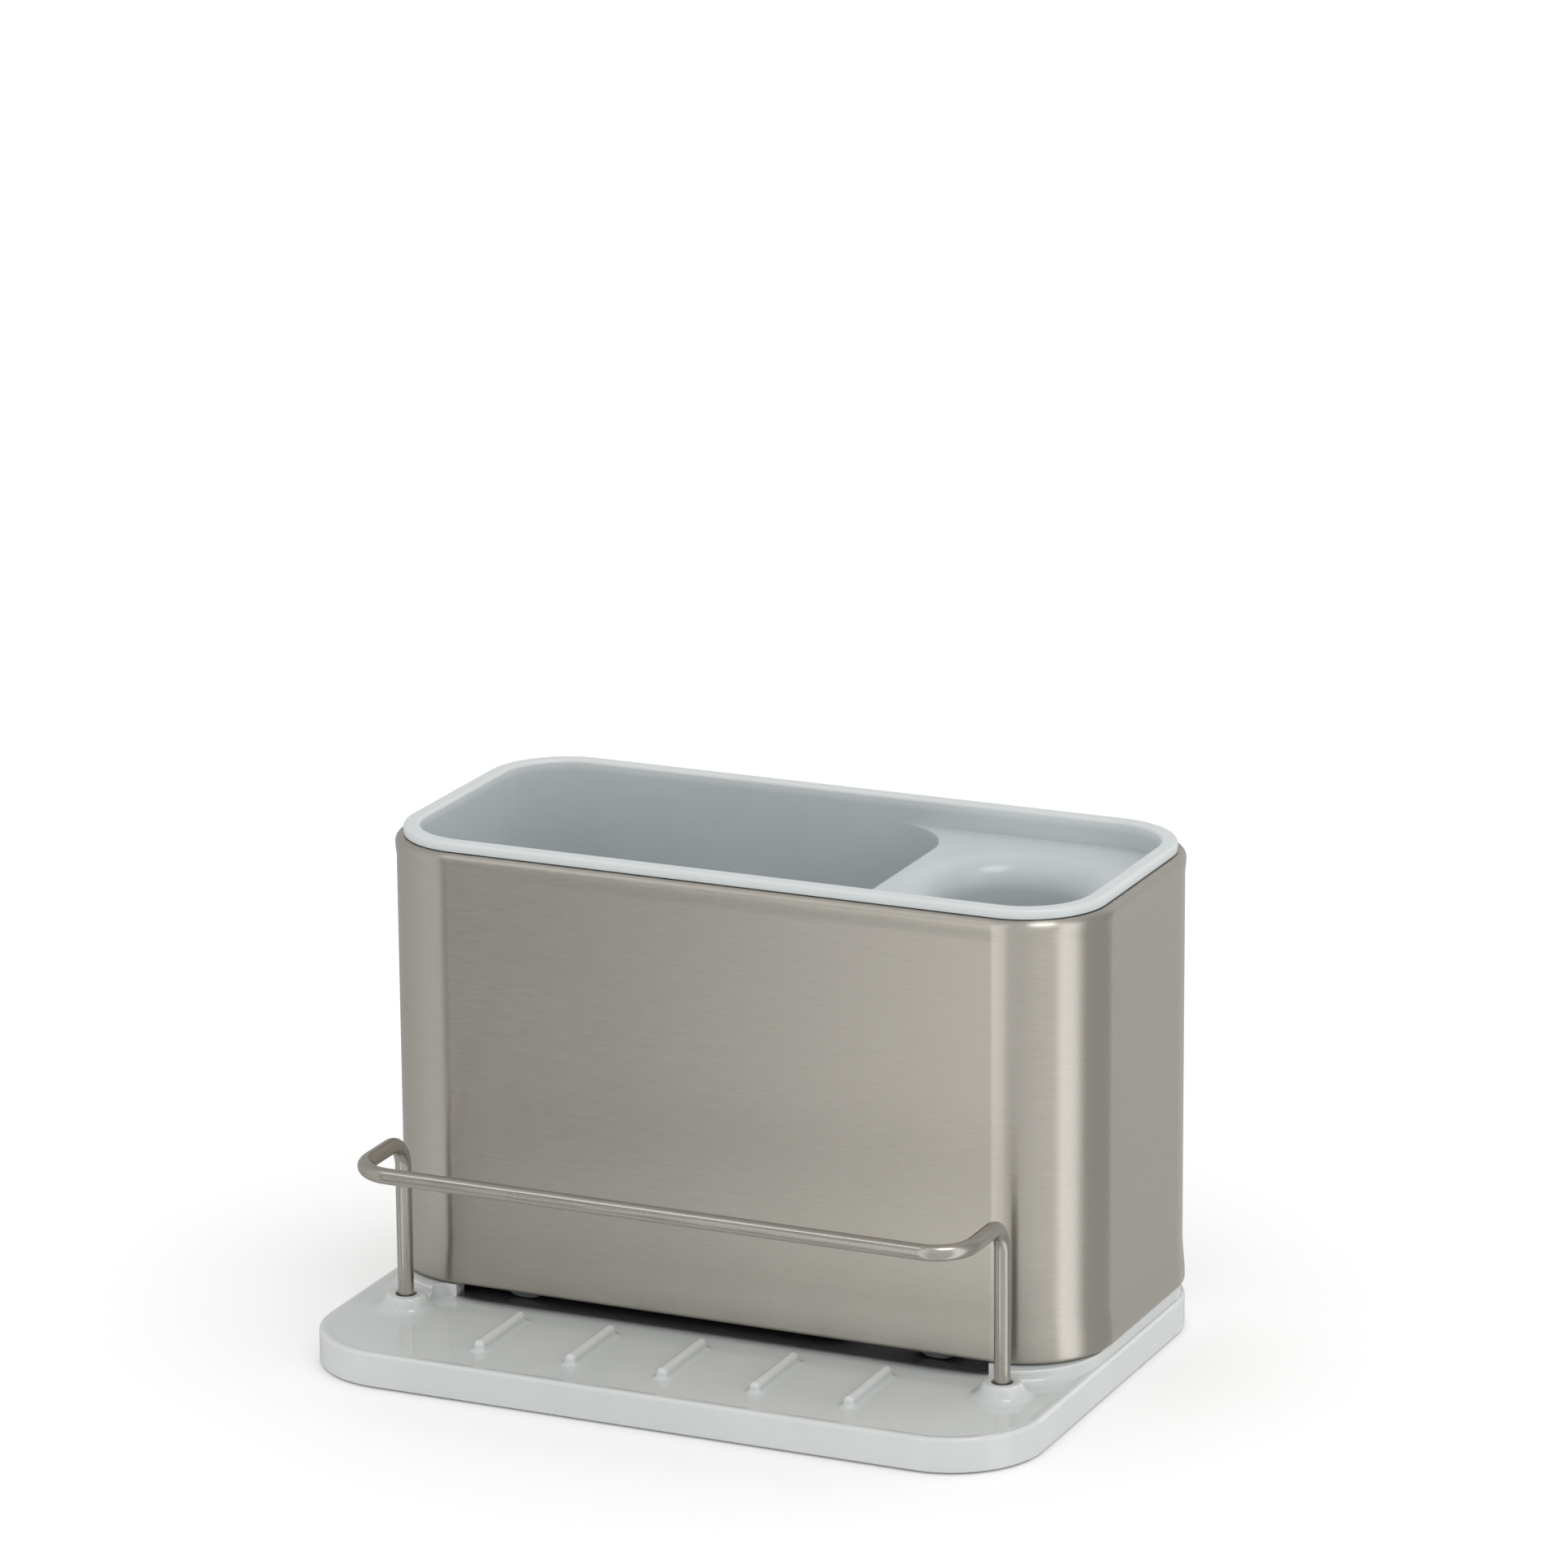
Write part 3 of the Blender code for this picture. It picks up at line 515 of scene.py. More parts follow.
def bosses():
    """Bell-shaped collars round the rail's sockets."""
    lean = [BOSS_STEEPNESS * i / ROUND_STEPS for i in range(ROUND_STEPS + 1)]
    profile = [(BOSS_FOOT, DISH_Z - SINK)]
    profile += [
        (BOSS_FOOT - BOSS_FLARE * math.sin(a), DISH_Z + BOSS_FLARE * (1 - math.cos(a)))
        for a in lean
    ]
    radius, z = profile[-1]
    shoulder_z = BOSS_Z - BOSS_SHOULDER * (1 - math.cos(BOSS_STEEPNESS))
    rim = radius - (shoulder_z - z) / math.tan(BOSS_STEEPNESS) - BOSS_SHOULDER * math.sin(BOSS_STEEPNESS)
    profile += [
        (rim + BOSS_SHOULDER * math.sin(a), BOSS_Z - BOSS_SHOULDER * (1 - math.cos(a)))
        for a in reversed(lean)
    ]
    return solid("tray_bosses", [turned(x, y, profile) for x, y in socket_centres()])


def tray_bores():
    """The rail's tapered sockets with rounded mouths, and the pockets for the feet."""
    mouth = WIRE / 2 + SOCKET_MOUTH_FIT
    socket = [(WIRE / 2 + SOCKET_FIT, SOCKET_Z)]
    socket += [
        (mouth + SOCKET_ROUND * (1 - math.cos(a)), BOSS_Z - SOCKET_ROUND * (1 - math.sin(a)))
        for a in arc(ROUND_STEPS)
    ]
    socket.append((mouth + SOCKET_ROUND, BOSS_Z + CLEAR))
    shells = [turned(x, y, socket) for x, y in socket_centres()]
    for place in FOOT_PLACES:
        x, y, foot_radius = foot_circle(place)
        radius = foot_radius + FIT
        shells.append(turned(x, y, [(radius, -CLEAR), (radius, FOOT_POCKET)]))
    return solid("tray_bores", shells)


def tray_moulding():
    tray = tray_shell()
    cut(tray, hollow_under_tray())
    join(tray, webs_along_y())
    join(tray, webs_along_x())
    join(tray, socket_columns())
    join(tray, foot_pads())
    join(tray, platform())
    join(tray, sponge_ribs())
    join(tray, bosses())
    cut(tray, tray_bores())
    tray.location.z = FOOT_PROUD
    return tray


def rubber_foot(place):
    """Round foot with a softened edge, pressed into its pocket under the tray."""
    x, y, radius = foot_circle(place)
    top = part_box(f"foot_{place}")[1].z
    profile = [
        (radius - FOOT_EDGE * (1 - math.sin(a)), FOOT_EDGE * (1 - math.cos(a)))
        for a in arc(ROUND_STEPS)
    ]
    profile.append((radius, top))
    foot = solid(f"rubber_foot_{place}", [turned(0.0, 0.0, profile)])
    foot.location = (x, y, 0.0)
    return foot


def rolled_edge(rise, height, roll):
    """The sheet's middle line in section from its hem to the plain wall, as (offset from its face, z)."""
    skin = SHEET / 2
    roll_x = rise - skin - roll
    line = [(-HEM_REACH, skin)]
    line += [
        (roll_x + roll * math.sin(a), skin + roll * (1 - math.cos(a)))
        for a in arc(ROUND_STEPS)
    ]
    start = skin + roll
    line += [
        (rise * (1 + math.cos(2 * a)) / 2 - skin, start + (height - start) * 2 * a / math.pi)
        for a in arc(BEAD_STEPS)[1:]
    ]
    return line


def sheet_line():
    """The sheet's middle line in section, bottom hem to top hem."""
    bottom = rolled_edge(BEAD_RISE, BEAD_HEIGHT, BEAD_ROLL)
    top = rolled_edge(TOP_BEAD_RISE, TOP_BEAD_HEIGHT, TOP_BEAD_ROLL)
    return bottom + [(offset, SLEEVE_HEIGHT - z) for offset, z in reversed(top)]


def sleeve_shell():
    """Seamless sheet wall with a rolled bead and an inward hem at both edges."""
    line = [Vector(point) for point in sheet_line()]
    faces = []
    for i, point in enumerate(line):
        along = (line[min(i + 1, len(line) - 1)] - line[max(i - 1, 0)]).normalized()
        across = Vector((along.y, -along.x)) * SHEET / 2
        faces.append((point + across, point - across))
    loop = [outer for outer, _ in faces] + [inner for _, inner in reversed(faces)]
    sleeve = solid("sleeve_shell", [[sleeve_ring(offset, z) for offset, z in loop]], closed=True)
    sleeve.location = (0.0, SLEEVE_Y, SLEEVE_LOW.z)
    return sleeve


def caddy_shell():
    """Outer wall, rim and the shallow recess down to the deck, as one moulded block."""
    outer = RIM_WIDTH - CADDY_WALL
    base = outer + slant(-CADDY_DEPTH)
    levels = [
        (base + CADDY_HEEL * (1 - math.sin(a)), CADDY_HEEL * (1 - math.cos(a)) - CADDY_DEPTH)
        for a in arc(ROUND_STEPS)
    ]
    levels += [(outer + slant(0.0), 0.0), (0.0, 0.0)]
    levels += [
        (RIM_ROUND * (1 - math.cos(a)), RIM_THICK - RIM_ROUND * (1 - math.sin(a)))
        for a in arc(ROUND_STEPS)
    ]
    levels += [
        (RIM_WIDTH - RIM_ROUND * (1 - math.sin(a)), RIM_THICK - RIM_ROUND * (1 - math.cos(a)))
        for a in arc(ROUND_STEPS)
    ]
    levels.append((RIM_WIDTH + slant(DECK_Z), DECK_Z))
    return solid("caddy_moulding", [[rim_ring(inset, z) for inset, z in levels]])


def compartment():
    """The space of the large bay: drafted walls with a cove round the floor."""

    def ring(grow, z, spread=0.0):
        inset = RIM_WIDTH + slant(z) + grow
        half = RIM_HALF_DEPTH - inset
        right = BAY_LEFT - slant(z) + slant(DECK_Z) - grow + spread
        corner = RIM_CORNER - inset
        bay_corner = BAY_CORNER - grow + spread
        return outline(inset - RIM_HALF, right, -half, half, (bay_corner, bay_corner, corner, corner), z)

    rings = [
        ring(HAIR + COVE * (1 - math.sin(a)), FLOOR_Z + COVE * (1 - math.cos(a)))
        for a in arc(SLOPE_STEPS)
    ]
    rings += [
        ring(HAIR, DECK_Z - DECK_EDGE * (1 - math.sin(a)), DECK_EDGE * (1 - math.cos(a)))
        for a in arc(ROUND_STEPS)
    ]
    rings.append([point + Vector((0.0, 0.0, CLEAR)) for point in rings[-1]])
    return solid("caddy_compartment", [rings])


def well_profile(skin):
    """Section of the round well, from the floor's edge to the deck, moved outwards by skin."""
    turn_z = DECK_Z - WELL_FUNNEL
    foot_radius = WELL_RADIUS - slant(FLOOR_Z) + slant(turn_z) + skin
    funnel = WELL_FUNNEL - skin
    profile = [
        (foot_radius - COVE * (1 - math.sin(a)), FLOOR_Z + COVE * (1 - math.cos(a)))
        for a in arc(ROUND_STEPS)
    ]
    profile += [
        (WELL_MOUTH - funnel * math.cos(a), turn_z + funnel * math.sin(a))
        for a in arc(FUNNEL_STEPS)
    ]
    return profile


def brush_well():
    profile = well_profile(0.0)
    profile.append((WELL_MOUTH, DECK_Z + CLEAR))
    return solid("caddy_well", [turned(WELL_X, 0.0, profile, TURN_POINTS)])


def core_under_deck():
    """The hollow round the well, open below, that the moulding's core leaves under the deck."""
    inset = RIM_WIDTH + slant(-CADDY_DEPTH)
    half = RIM_HALF_DEPTH - inset
    corner = RIM_CORNER - inset
    rings = []
    for z in (-CADDY_DEPTH - CLEAR, DECK_Z - CADDY_WALL):
        left = BAY_LEFT + CADDY_WALL + slant(DECK_Z) - slant(max(z, -CADDY_DEPTH))
        radii = (corner, corner, CORE_CORNER, CORE_CORNER)
        rings.append(outline(left, RIM_HALF - inset, -half, half, radii, z))
    core = solid("caddy_core", [rings])
    skin = well_profile(CADDY_WALL)
    skin[0] = (skin[0][0], -CADDY_DEPTH - 2 * CLEAR)
    skin.append((WELL_MOUTH, DECK_Z))
    cut(core, solid("well_skin", [turned(WELL_X, 0.0, skin, TURN_POINTS)]))
    return core


def drain_holes():
    """Slots in the compartment's floor and a ring of holes in the well's floor."""
    bottom = -CADDY_DEPTH - CLEAR
    top = FLOOR_Z + CLEAR
    middle = (BAY_LEFT - RIM_HALF + RIM_WIDTH) / 2
    shells = []
    for row in range(SLOT_ROWS):
        for column in range(SLOT_COLUMNS):
            x = middle + (column - (SLOT_COLUMNS - 1) / 2) * SLOT_PITCH
            y = (row - (SLOT_ROWS - 1) / 2) * SLOT_ROW_PITCH
            half_width = SLOT_WIDTH / 2
            half_length = SLOT_LENGTH / 2
            edges = (x - half_width, x + half_width, y - half_length, y + half_length)
            shells.append([outline(*edges, [half_width] * 4, z, SMALL_CORNER_STEPS) for z in (bottom, top)])
    for i in range(WELL_HOLE_COUNT):
        turn = 2 * math.pi * i / WELL_HOLE_COUNT
        x = WELL_X + WELL_HOLE_RING * math.cos(turn)
        y = WELL_HOLE_RING * math.sin(turn)
        shells.append(turned(x, y, [(WELL_HOLE, bottom), (WELL_HOLE, top)], HOLE_POINTS))
    return solid("caddy_drains", shells)


def support_tabs():
    """Rounded tabs under the front and back walls, on which the caddy's weight can rest."""
    wall = RIM_HALF_DEPTH - RIM_WIDTH + CADDY_WALL / 2 - slant(-CADDY_DEPTH)
    shells = []
    for x in (-TAB_SPREAD / 2, TAB_SPREAD / 2):
        for y in (-wall, wall):
            rings = []
            for a in arc(ROUND_STEPS):
                half = (TAB_NOSE + (TAB_WIDTH - TAB_NOSE) * math.sin(a)) / 2
                z = -CADDY_DEPTH - TAB_HEIGHT * math.cos(a)
                edges = (x - half, x + half, y - TAB_WALL / 2, y + TAB_WALL / 2)
                rings.append(outline(*edges, [TAB_WALL / 2] * 4, z, SMALL_CORNER_STEPS))
            rings.append([point + Vector((0.0, 0.0, CADDY_HEEL)) for point in rings[-1]])
            shells.append(rings)
    return solid("caddy_tabs", shells)


def caddy_moulding():
    caddy = caddy_shell()
    cut(caddy, compartment())
    cut(caddy, core_under_deck())
    cut(caddy, brush_well())
    join(caddy, support_tabs())
    cut(caddy, drain_holes())
    caddy.location = (0.0, SLEEVE_Y, CADDY_HIGH.z - RIM_THICK)
    return caddy


def bend(before, corner, after, radius):
    """Points of a round bend of this radius where two straight runs meet at corner."""
    back = (before - corner).normalized()
    ahead = (after - corner).normalized()
    half_angle = back.angle(ahead) / 2
    centre = corner + (back + ahead).normalized() * radius / math.sin(half_angle)
    start = corner + back * radius / math.tan(half_angle) - centre
    end = corner + ahead * radius / math.tan(half_angle) - centre
    return [centre + radius * start.slerp(end, i / BEND_STEPS) for i in range(BEND_STEPS + 1)]


def wire_route():
    """The wire's middle line, from the foot of one leg to the foot of the other, in the rail's own frame."""
    top = RAIL_HIGH.z - RAIL_LOW.z - WIRE / 2
    half = RAIL_SPAN / 2
    corners = [
        Vector((-half, 0.0, 0.0)),
        Vector((-half, 0.0, top)),
        Vector((-half, -RAIL_REACH, top)),
        Vector((half, -RAIL_REACH, top)),
        Vector((half, 0.0, top)),
        Vector((half, 0.0, 0.0)),
    ]
    radii = (RAIL_LEG_BEND, RAIL_CORNER_BEND, RAIL_CORNER_BEND, RAIL_LEG_BEND)
    route = [corners[0], corners[0] + Vector((0.0, 0.0, WIRE_EDGE))]
    for i, radius in enumerate(radii):
        route += bend(corners[i], corners[i + 1], corners[i + 2], radius)
    return route + [corners[-1] + Vector((0.0, 0.0, WIRE_EDGE)), corners[-1]]


def rail_wire():
    """Round wire swept along the route, with softened ends and a map of its length and girth."""
    route = wire_route()
    side = Vector((1.0, 0.0, 0.0))
    turns = [2 * math.pi * j / WIRE_POINTS for j in range(WIRE_POINTS)]
    rings = []
    for i, point in enumerate(route):
        along = (route[min(i + 1, len(route) - 1)] - route[max(i - 1, 0)]).normalized()
        side = (side - side.dot(along) * along).normalized()
        other = along.cross(side)
        radius = WIRE / 2 - (WIRE_EDGE if i in (0, len(route) - 1) else 0.0)
        rings.append([point + radius * (math.cos(a) * side + math.sin(a) * other) for a in turns])
    rail = solid("rail_wire", [rings])
    straightened = rail.data.attributes.new("straightened", "FLOAT_VECTOR", "POINT")
    length = 0.0
    for i, point in enumerate(route):
        length += (point - route[max(i - 1, 0)]).length
        for j, a in enumerate(turns):
            place = (length, WIRE / 2 * math.cos(a), WIRE / 2 * math.sin(a))
            straightened.data[i * WIRE_POINTS + j].vector = place
    rail.location = (0.0, RAIL_Y, RAIL_LOW.z)
    return rail


# Finishes: the two shades that each one's grain runs between, as colours in plain light
TRAY_SHADES = ((0.590, 0.614, 0.602), (0.628, 0.648, 0.636))
CADDY_SHADES = ((0.520, 0.562, 0.574), (0.550, 0.590, 0.600))
# The rim is the same plastic made whiter, partly for wear and partly as painted light
RIM_WORN_AND_LIT_SHADES = ((0.640, 0.668, 0.668), (0.665, 0.690, 0.690))
STEEL_SHADES = ((0.525, 0.498, 0.448), (0.605, 0.575, 0.520))
WIRE_SHADES = ((0.400, 0.376, 0.340), (0.535, 0.510, 0.468))
RUBBER_SHADES = ((0.270, 0.280, 0.280), (0.330, 0.340, 0.340))
BLACK = (0.0, 0.0, 0.0)
WHITE = (1.0, 1.0, 1.0)
PLASTIC_IOR = 1.49
# Smoothest and roughest places. Denoising turns patchy where a finish crosses 0.27, so none does
TRAY_ROUGHNESS = (0.04, 0.08)
CADDY_ROUGHNESS = (0.18, 0.265)
STEEL_ROUGHNESS = (0.285, 0.335)
WIRE_ROUGHNESS = (0.20, 0.265)
RUBBER_ROUGHNESS = (0.70, 0.86)
# Grains: waves per metre along x, y and z, how many times finer waves are added and how strong those are
CLOUDS = ((38, 38, 38), 4.0, 0.5)
RUBBED_PATCHES = ((90, 90, 90), 4.0, 0.6)
MOULD_FLOW = ((160, 160, 160), 1.0, 0.5)
MOULD_GRAIN = ((1300, 1300, 1300), 2.0, 0.5)
BRUSH_LINES = ((260, 260, 4400), 2.0, 0.6)
BROAD_LINES = ((110, 110, 2200), 1.0, 0.5)
STEEL_PATCHES = ((30, 30, 50), 2.0, 0.5)
SHEET_WAVES = ((9, 9, 40), 2.0, 0.5)
DIE_MARKS = ((70, 2600, 2600), 2.0, 0.5)
WIRE_SPECKS = ((1500, 3400, 3400), 2.0, 0.6)
RUBBER_GRAIN = ((1900, 1900, 1900), 4.0, 0.7)
# The values that a grain seldom leaves
GRAIN_LOW = 0.3
GRAIN_HIGH = 0.7
# How deep grains go as bump, in metres
TRAY_FLOW_DEPTH = 0.000006
CADDY_FLOW_DEPTH = 0.000008
MOULD_GRAIN_DEPTH = 0.000001
SHEET_WAVE_DEPTH = 0.00003
DIE_MARK_DEPTH = 0.000003
WIRE_SPECK_DEPTH = 0.000001
RUBBER_GRAIN_DEPTH = 0.00002
# How much each grain has in a colour: fine lines, broad lines and patches; die marks and specks
STEEL_GRAIN_SHARES = (0.70, 0.20, 0.10)
WIRE_GRAIN_SHARES = (0.6, 0.4)
# Painted highlight on the tray's ridges: how much lighter they are, and how pointed a ridge is where that
# begins and is full
RIDGE_HIGHLIGHT_AMOUNT = 0.30
RIDGE_HIGHLIGHT_START = 0.505
RIDGE_HIGHLIGHT_FULL = 0.56
# Heights between which the caddy's inside colour turns into its rim's whiter one, partly wear and partly
# painted light, and the painted shade at the tabs' tips
RIM_LIGHT_START = -0.0006
RIM_LIGHT_FULL = 0.0009
TAB_PAINTED_SHADE = 0.75
# Painted shade on the steel's front low down: how dark at its foot, how high and how far round
FRONT_FOOT_PAINTED_SHADE = 0.20
FRONT_FOOT_SHADE_HEIGHT = 0.0300
FRONT_FOOT_SHADE_FADE = 0.0060
# Painted shade in the drain's slit, where the other pieces shade the dish: how far a nook reaches, how much
# of it the other pieces leave open where the painted shade begins and where it is darkest, and how dark that
# is
NOOK_REACH = 0.012
NOOK_SAMPLES = 16
NOOK_OPEN = 0.72
NOOK_DEEP = 0.50
NOOK_PAINTED_SHADE = 0.91
# Where the painted shade fades out: from this far before the sleeve, inwards, and between these heights off
# the dish
NOOK_FRONT = 0.0080
NOOK_FADE = 0.0060
NOOK_LEVEL = 0.0003
NOOK_LEVEL_END = 0.0012
# Which of the Mix node's sockets hold the two colours, and which the mixed one
MIX_COLOURS = (6, 7)
MIX_RESULT = 2


def node(tree, kind, inputs=(), **settings):
    """A shader node; inputs pairs a socket's name or number with a value or with another node's output."""
    made = tree.nodes.new(kind)
    for name, value in settings.items():
        setattr(made, name, value)
    for socket, value in dict(inputs).items():
        if isinstance(value, bpy.types.NodeSocket):
            tree.links.new(value, made.inputs[socket])
        else:
            made.inputs[socket].default_value = value
    return made


def finish_of(name, values):
    """A material and its shader, with what is even all over set on the shader's own sockets."""
    made = bpy.data.materials.new(name)
    made.use_nodes = True
    shader = made.node_tree.nodes["Principled BSDF"]
    for socket, value in values.items():
        shader.inputs[socket].default_value = value
    return made, made.node_tree, shader


def noise(tree, grain, coordinates=None):
    """Noise of this grain, in the piece's own coordinates unless others are given."""
    scale, detail, rough = grain
    if coordinates is None:
        coordinates = node(tree, "ShaderNodeTexCoord").outputs["Object"]
    place = node(tree, "ShaderNodeMapping", {"Vector": coordinates, "Scale": scale})
    made = node(
        tree,
        "ShaderNodeTexNoise",
        {"Vector": place.outputs[0], "Scale": 1.0, "Detail": detail, "Roughness": rough},
    )
    return made.outputs["Fac"]


def between(tree, factor, low, high, start=GRAIN_LOW, end=GRAIN_HIGH):
    """A number that runs from low to high as factor runs from start to end."""
    made = node(
        tree,
        "ShaderNodeMapRange",
        {"Value": factor, "From Min": start, "From Max": end, "To Min": low, "To Max": high},
    )
    return made.outputs["Result"]


def calculate(tree, operation, *values):
    return node(tree, "ShaderNodeMath", dict(enumerate(values)), operation=operation).outputs[0]


def mixed(tree, grains, shares):
    """One number from several grains, each with its share."""
    total = between(tree, grains[0], 0.0, shares[0])
    for grain, share in zip(grains[1:], shares[1:]):
        total = calculate(tree, "ADD", total, between(tree, grain, 0.0, share))
    return total


def blend(tree, factor, a, b):
    """The colour that is a where factor is 0 and b where it is 1."""
    inputs = {0: factor}
    for socket, value in zip(MIX_COLOURS, (a, b)):
        inputs[socket] = value if isinstance(value, bpy.types.NodeSocket) else (*value, 1.0)
    return node(tree, "ShaderNodeMix", inputs, data_type="RGBA").outputs[MIX_RESULT]


def axes_of(tree):
    """Outputs X, Y and Z of the piece's own coordinates."""
    place = node(tree, "ShaderNodeTexCoord").outputs["Object"]
    return node(tree, "ShaderNodeSeparateXYZ", {0: place}).outputs


def openness(tree, own):
    """How open a place is to what lies round it: other pieces and its own shape, or its own shape alone."""
    inputs = {"Distance": NOOK_REACH}
    made = node(tree, "ShaderNodeAmbientOcclusion", inputs, samples=NOOK_SAMPLES, only_local=own)
    return made.outputs["AO"]


def shade_from_other_pieces(tree, colour, where):
    """The colour with painted shade: darker in slits where other pieces shade it, as far as where goes from 0
    to 1.
    """
    nook = calculate(tree, "DIVIDE", openness(tree, False), openness(tree, True))
    painted_shade = calculate(tree, "MULTIPLY", between(tree, nook, NOOK_PAINTED_SHADE, 0.0, NOOK_DEEP, NOOK_OPEN), where)
    return blend(tree, painted_shade, colour, BLACK)


def drain_shade_mask(tree):
    """1 on the dish from just before the sleeve inwards, and 0 in front of that, above it and below it."""
    axes = axes_of(tree)
    front = SLEEVE_FRONT - NOOK_FRONT
    inwards = between(tree, axes["Y"], 0.0, 1.0, front, front + NOOK_FADE)
    above = between(tree, axes["Z"], 1.0, 0.0, DISH_Z + NOOK_LEVEL, DISH_Z + NOOK_LEVEL_END)
    below = between(tree, axes["Z"], 0.0, 1.0, DISH_Z - NOOK_LEVEL_END, DISH_Z - NOOK_LEVEL)
    return calculate(tree, "MULTIPLY", inwards, calculate(tree, "MULTIPLY", above, below))


def painted_ridge_highlight(tree, colour):
    """The colour, lighter on ridges and outer edges: a painted highlight where they catch the light."""
    ridge = node(tree, "ShaderNodeNewGeometry").outputs["Pointiness"]
    return blend(tree, between(tree, ridge, 0.0, RIDGE_HIGHLIGHT_AMOUNT, RIDGE_HIGHLIGHT_START, RIDGE_HIGHLIGHT_FULL), colour, WHITE)


def shade(tree, shader, shades, factor):
    tree.links.new(blend(tree, factor, *shades), shader.inputs["Base Color"])


def relief(tree, shader, layers):
    """Bump from (height, depth in metres) layers, each on top of the one before."""
    normal = None
    for height, depth in layers:
        inputs = {"Height": height, "Distance": depth, "Strength": 1.0}
        if normal is not None:
            inputs["Normal"] = normal
        normal = node(tree, "ShaderNodeBump", inputs).outputs["Normal"]
    tree.links.new(normal, shader.inputs["Normal"])


def tray_plastic():
    """Glossy moulded plastic: a faint cloudiness, a soft flow of the surface and rubbed patches."""
    made, tree, shader = finish_of("tray_plastic", {"IOR": PLASTIC_IOR})
    colour = blend(tree, between(tree, noise(tree, CLOUDS), 0.0, 1.0), *TRAY_SHADES)
    # Painted highlight on ridges and edges, and painted shade in the slit under the sleeve
    colour = shade_from_other_pieces(tree, painted_ridge_highlight(tree, colour), drain_shade_mask(tree))
    tree.links.new(colour, shader.inputs["Base Color"])
    rubbed = between(tree, noise(tree, RUBBED_PATCHES), *TRAY_ROUGHNESS)
    tree.links.new(rubbed, shader.inputs["Roughness"])
    relief(tree, shader, [(noise(tree, MOULD_FLOW), TRAY_FLOW_DEPTH)])
    return made


def caddy_plastic():
    """Satin moulded plastic, whiter on the rim: partly wear, and partly painted light for the light the rim
    catches more than the shaded inside.
    """
    made, tree, shader = finish_of("caddy_plastic", {"IOR": PLASTIC_IOR})
    cloud = between(tree, noise(tree, CLOUDS), 0.0, 1.0)
    height = axes_of(tree)["Z"]
    rim_wear_and_light = between(tree, height, 0.0, 1.0, RIM_LIGHT_START, RIM_LIGHT_FULL)
    # Painted shade at the tabs' tips, where the pieces round them shade them
    tab_shade_mask = between(tree, height, TAB_PAINTED_SHADE, 0.0, -CADDY_DEPTH, CADDY_HEEL - CADDY_DEPTH)
    inside = shade_from_other_pieces(tree, blend(tree, cloud, *CADDY_SHADES), tab_shade_mask)
    rim = blend(tree, cloud, *RIM_WORN_AND_LIT_SHADES)
    tree.links.new(blend(tree, rim_wear_and_light, inside, rim), shader.inputs["Base Color"])
    rubbed = between(tree, noise(tree, RUBBED_PATCHES), *CADDY_ROUGHNESS)
    tree.links.new(rubbed, shader.inputs["Roughness"])
    flow = (noise(tree, MOULD_FLOW), CADDY_FLOW_DEPTH)
    grain = (noise(tree, MOULD_GRAIN), MOULD_GRAIN_DEPTH)
    relief(tree, shader, [flow, grain])
    return made


def brushed_steel():
    """Stainless sheet brushed level: highlights smear up and down and stay sharp sideways."""
    made, tree, shader = finish_of("brushed_steel", {"Metallic": 1.0, "Anisotropic": 1.0})
    fine, broad, patches = (noise(tree, grain) for grain in (BRUSH_LINES, BROAD_LINES, STEEL_PATCHES))
    colour = blend(tree, mixed(tree, (fine, broad, patches), STEEL_GRAIN_SHARES), *STEEL_SHADES)
    axes = axes_of(tree)
    front = -SLEEVE_DEPTH / 2
    # Painted shade: the front is darker towards its foot
    facing = between(tree, axes["Y"], 1.0, 0.0, front + SHEET, front + FRONT_FOOT_SHADE_FADE)
    low = between(tree, axes["Z"], FRONT_FOOT_PAINTED_SHADE, 0.0, 0.0, FRONT_FOOT_SHADE_HEIGHT)
    colour = blend(tree, calculate(tree, "MULTIPLY", facing, low), colour, BLACK)
    tree.links.new(colour, shader.inputs["Base Color"])
    tree.links.new(between(tree, fine, *STEEL_ROUGHNESS), shader.inputs["Roughness"])
    relief(tree, shader, [(noise(tree, SHEET_WAVES), SHEET_WAVE_DEPTH)])
    upright = node(tree, "ShaderNodeCombineXYZ", {"Z": 1.0}).outputs[0]
    tree.links.new(upright, shader.inputs["Tangent"])
    return made


def satin_wire():
    """Drawn stainless wire, satin, with fine marks from the die along its length."""
    made, tree, shader = finish_of("satin_wire", {"Metallic": 1.0})
    straightened = node(tree, "ShaderNodeAttribute", attribute_name="straightened").outputs["Vector"]
    marks = noise(tree, DIE_MARKS, straightened)
    specks = noise(tree, WIRE_SPECKS, straightened)
    shade(tree, shader, WIRE_SHADES, mixed(tree, (marks, specks), WIRE_GRAIN_SHARES))
    tree.links.new(between(tree, marks, *WIRE_ROUGHNESS), shader.inputs["Roughness"])
    relief(tree, shader, [(marks, DIE_MARK_DEPTH), (specks, WIRE_SPECK_DEPTH)])
    return made


def foot_rubber():
    made, tree, shader = finish_of("foot_rubber", {})
    grain = noise(tree, RUBBER_GRAIN)
    shade(tree, shader, RUBBER_SHADES, between(tree, grain, 0.0, 1.0))
    tree.links.new(between(tree, grain, *RUBBER_ROUGHNESS), shader.inputs["Roughness"])
    relief(tree, shader, [(grain, RUBBER_GRAIN_DEPTH)])
    return made


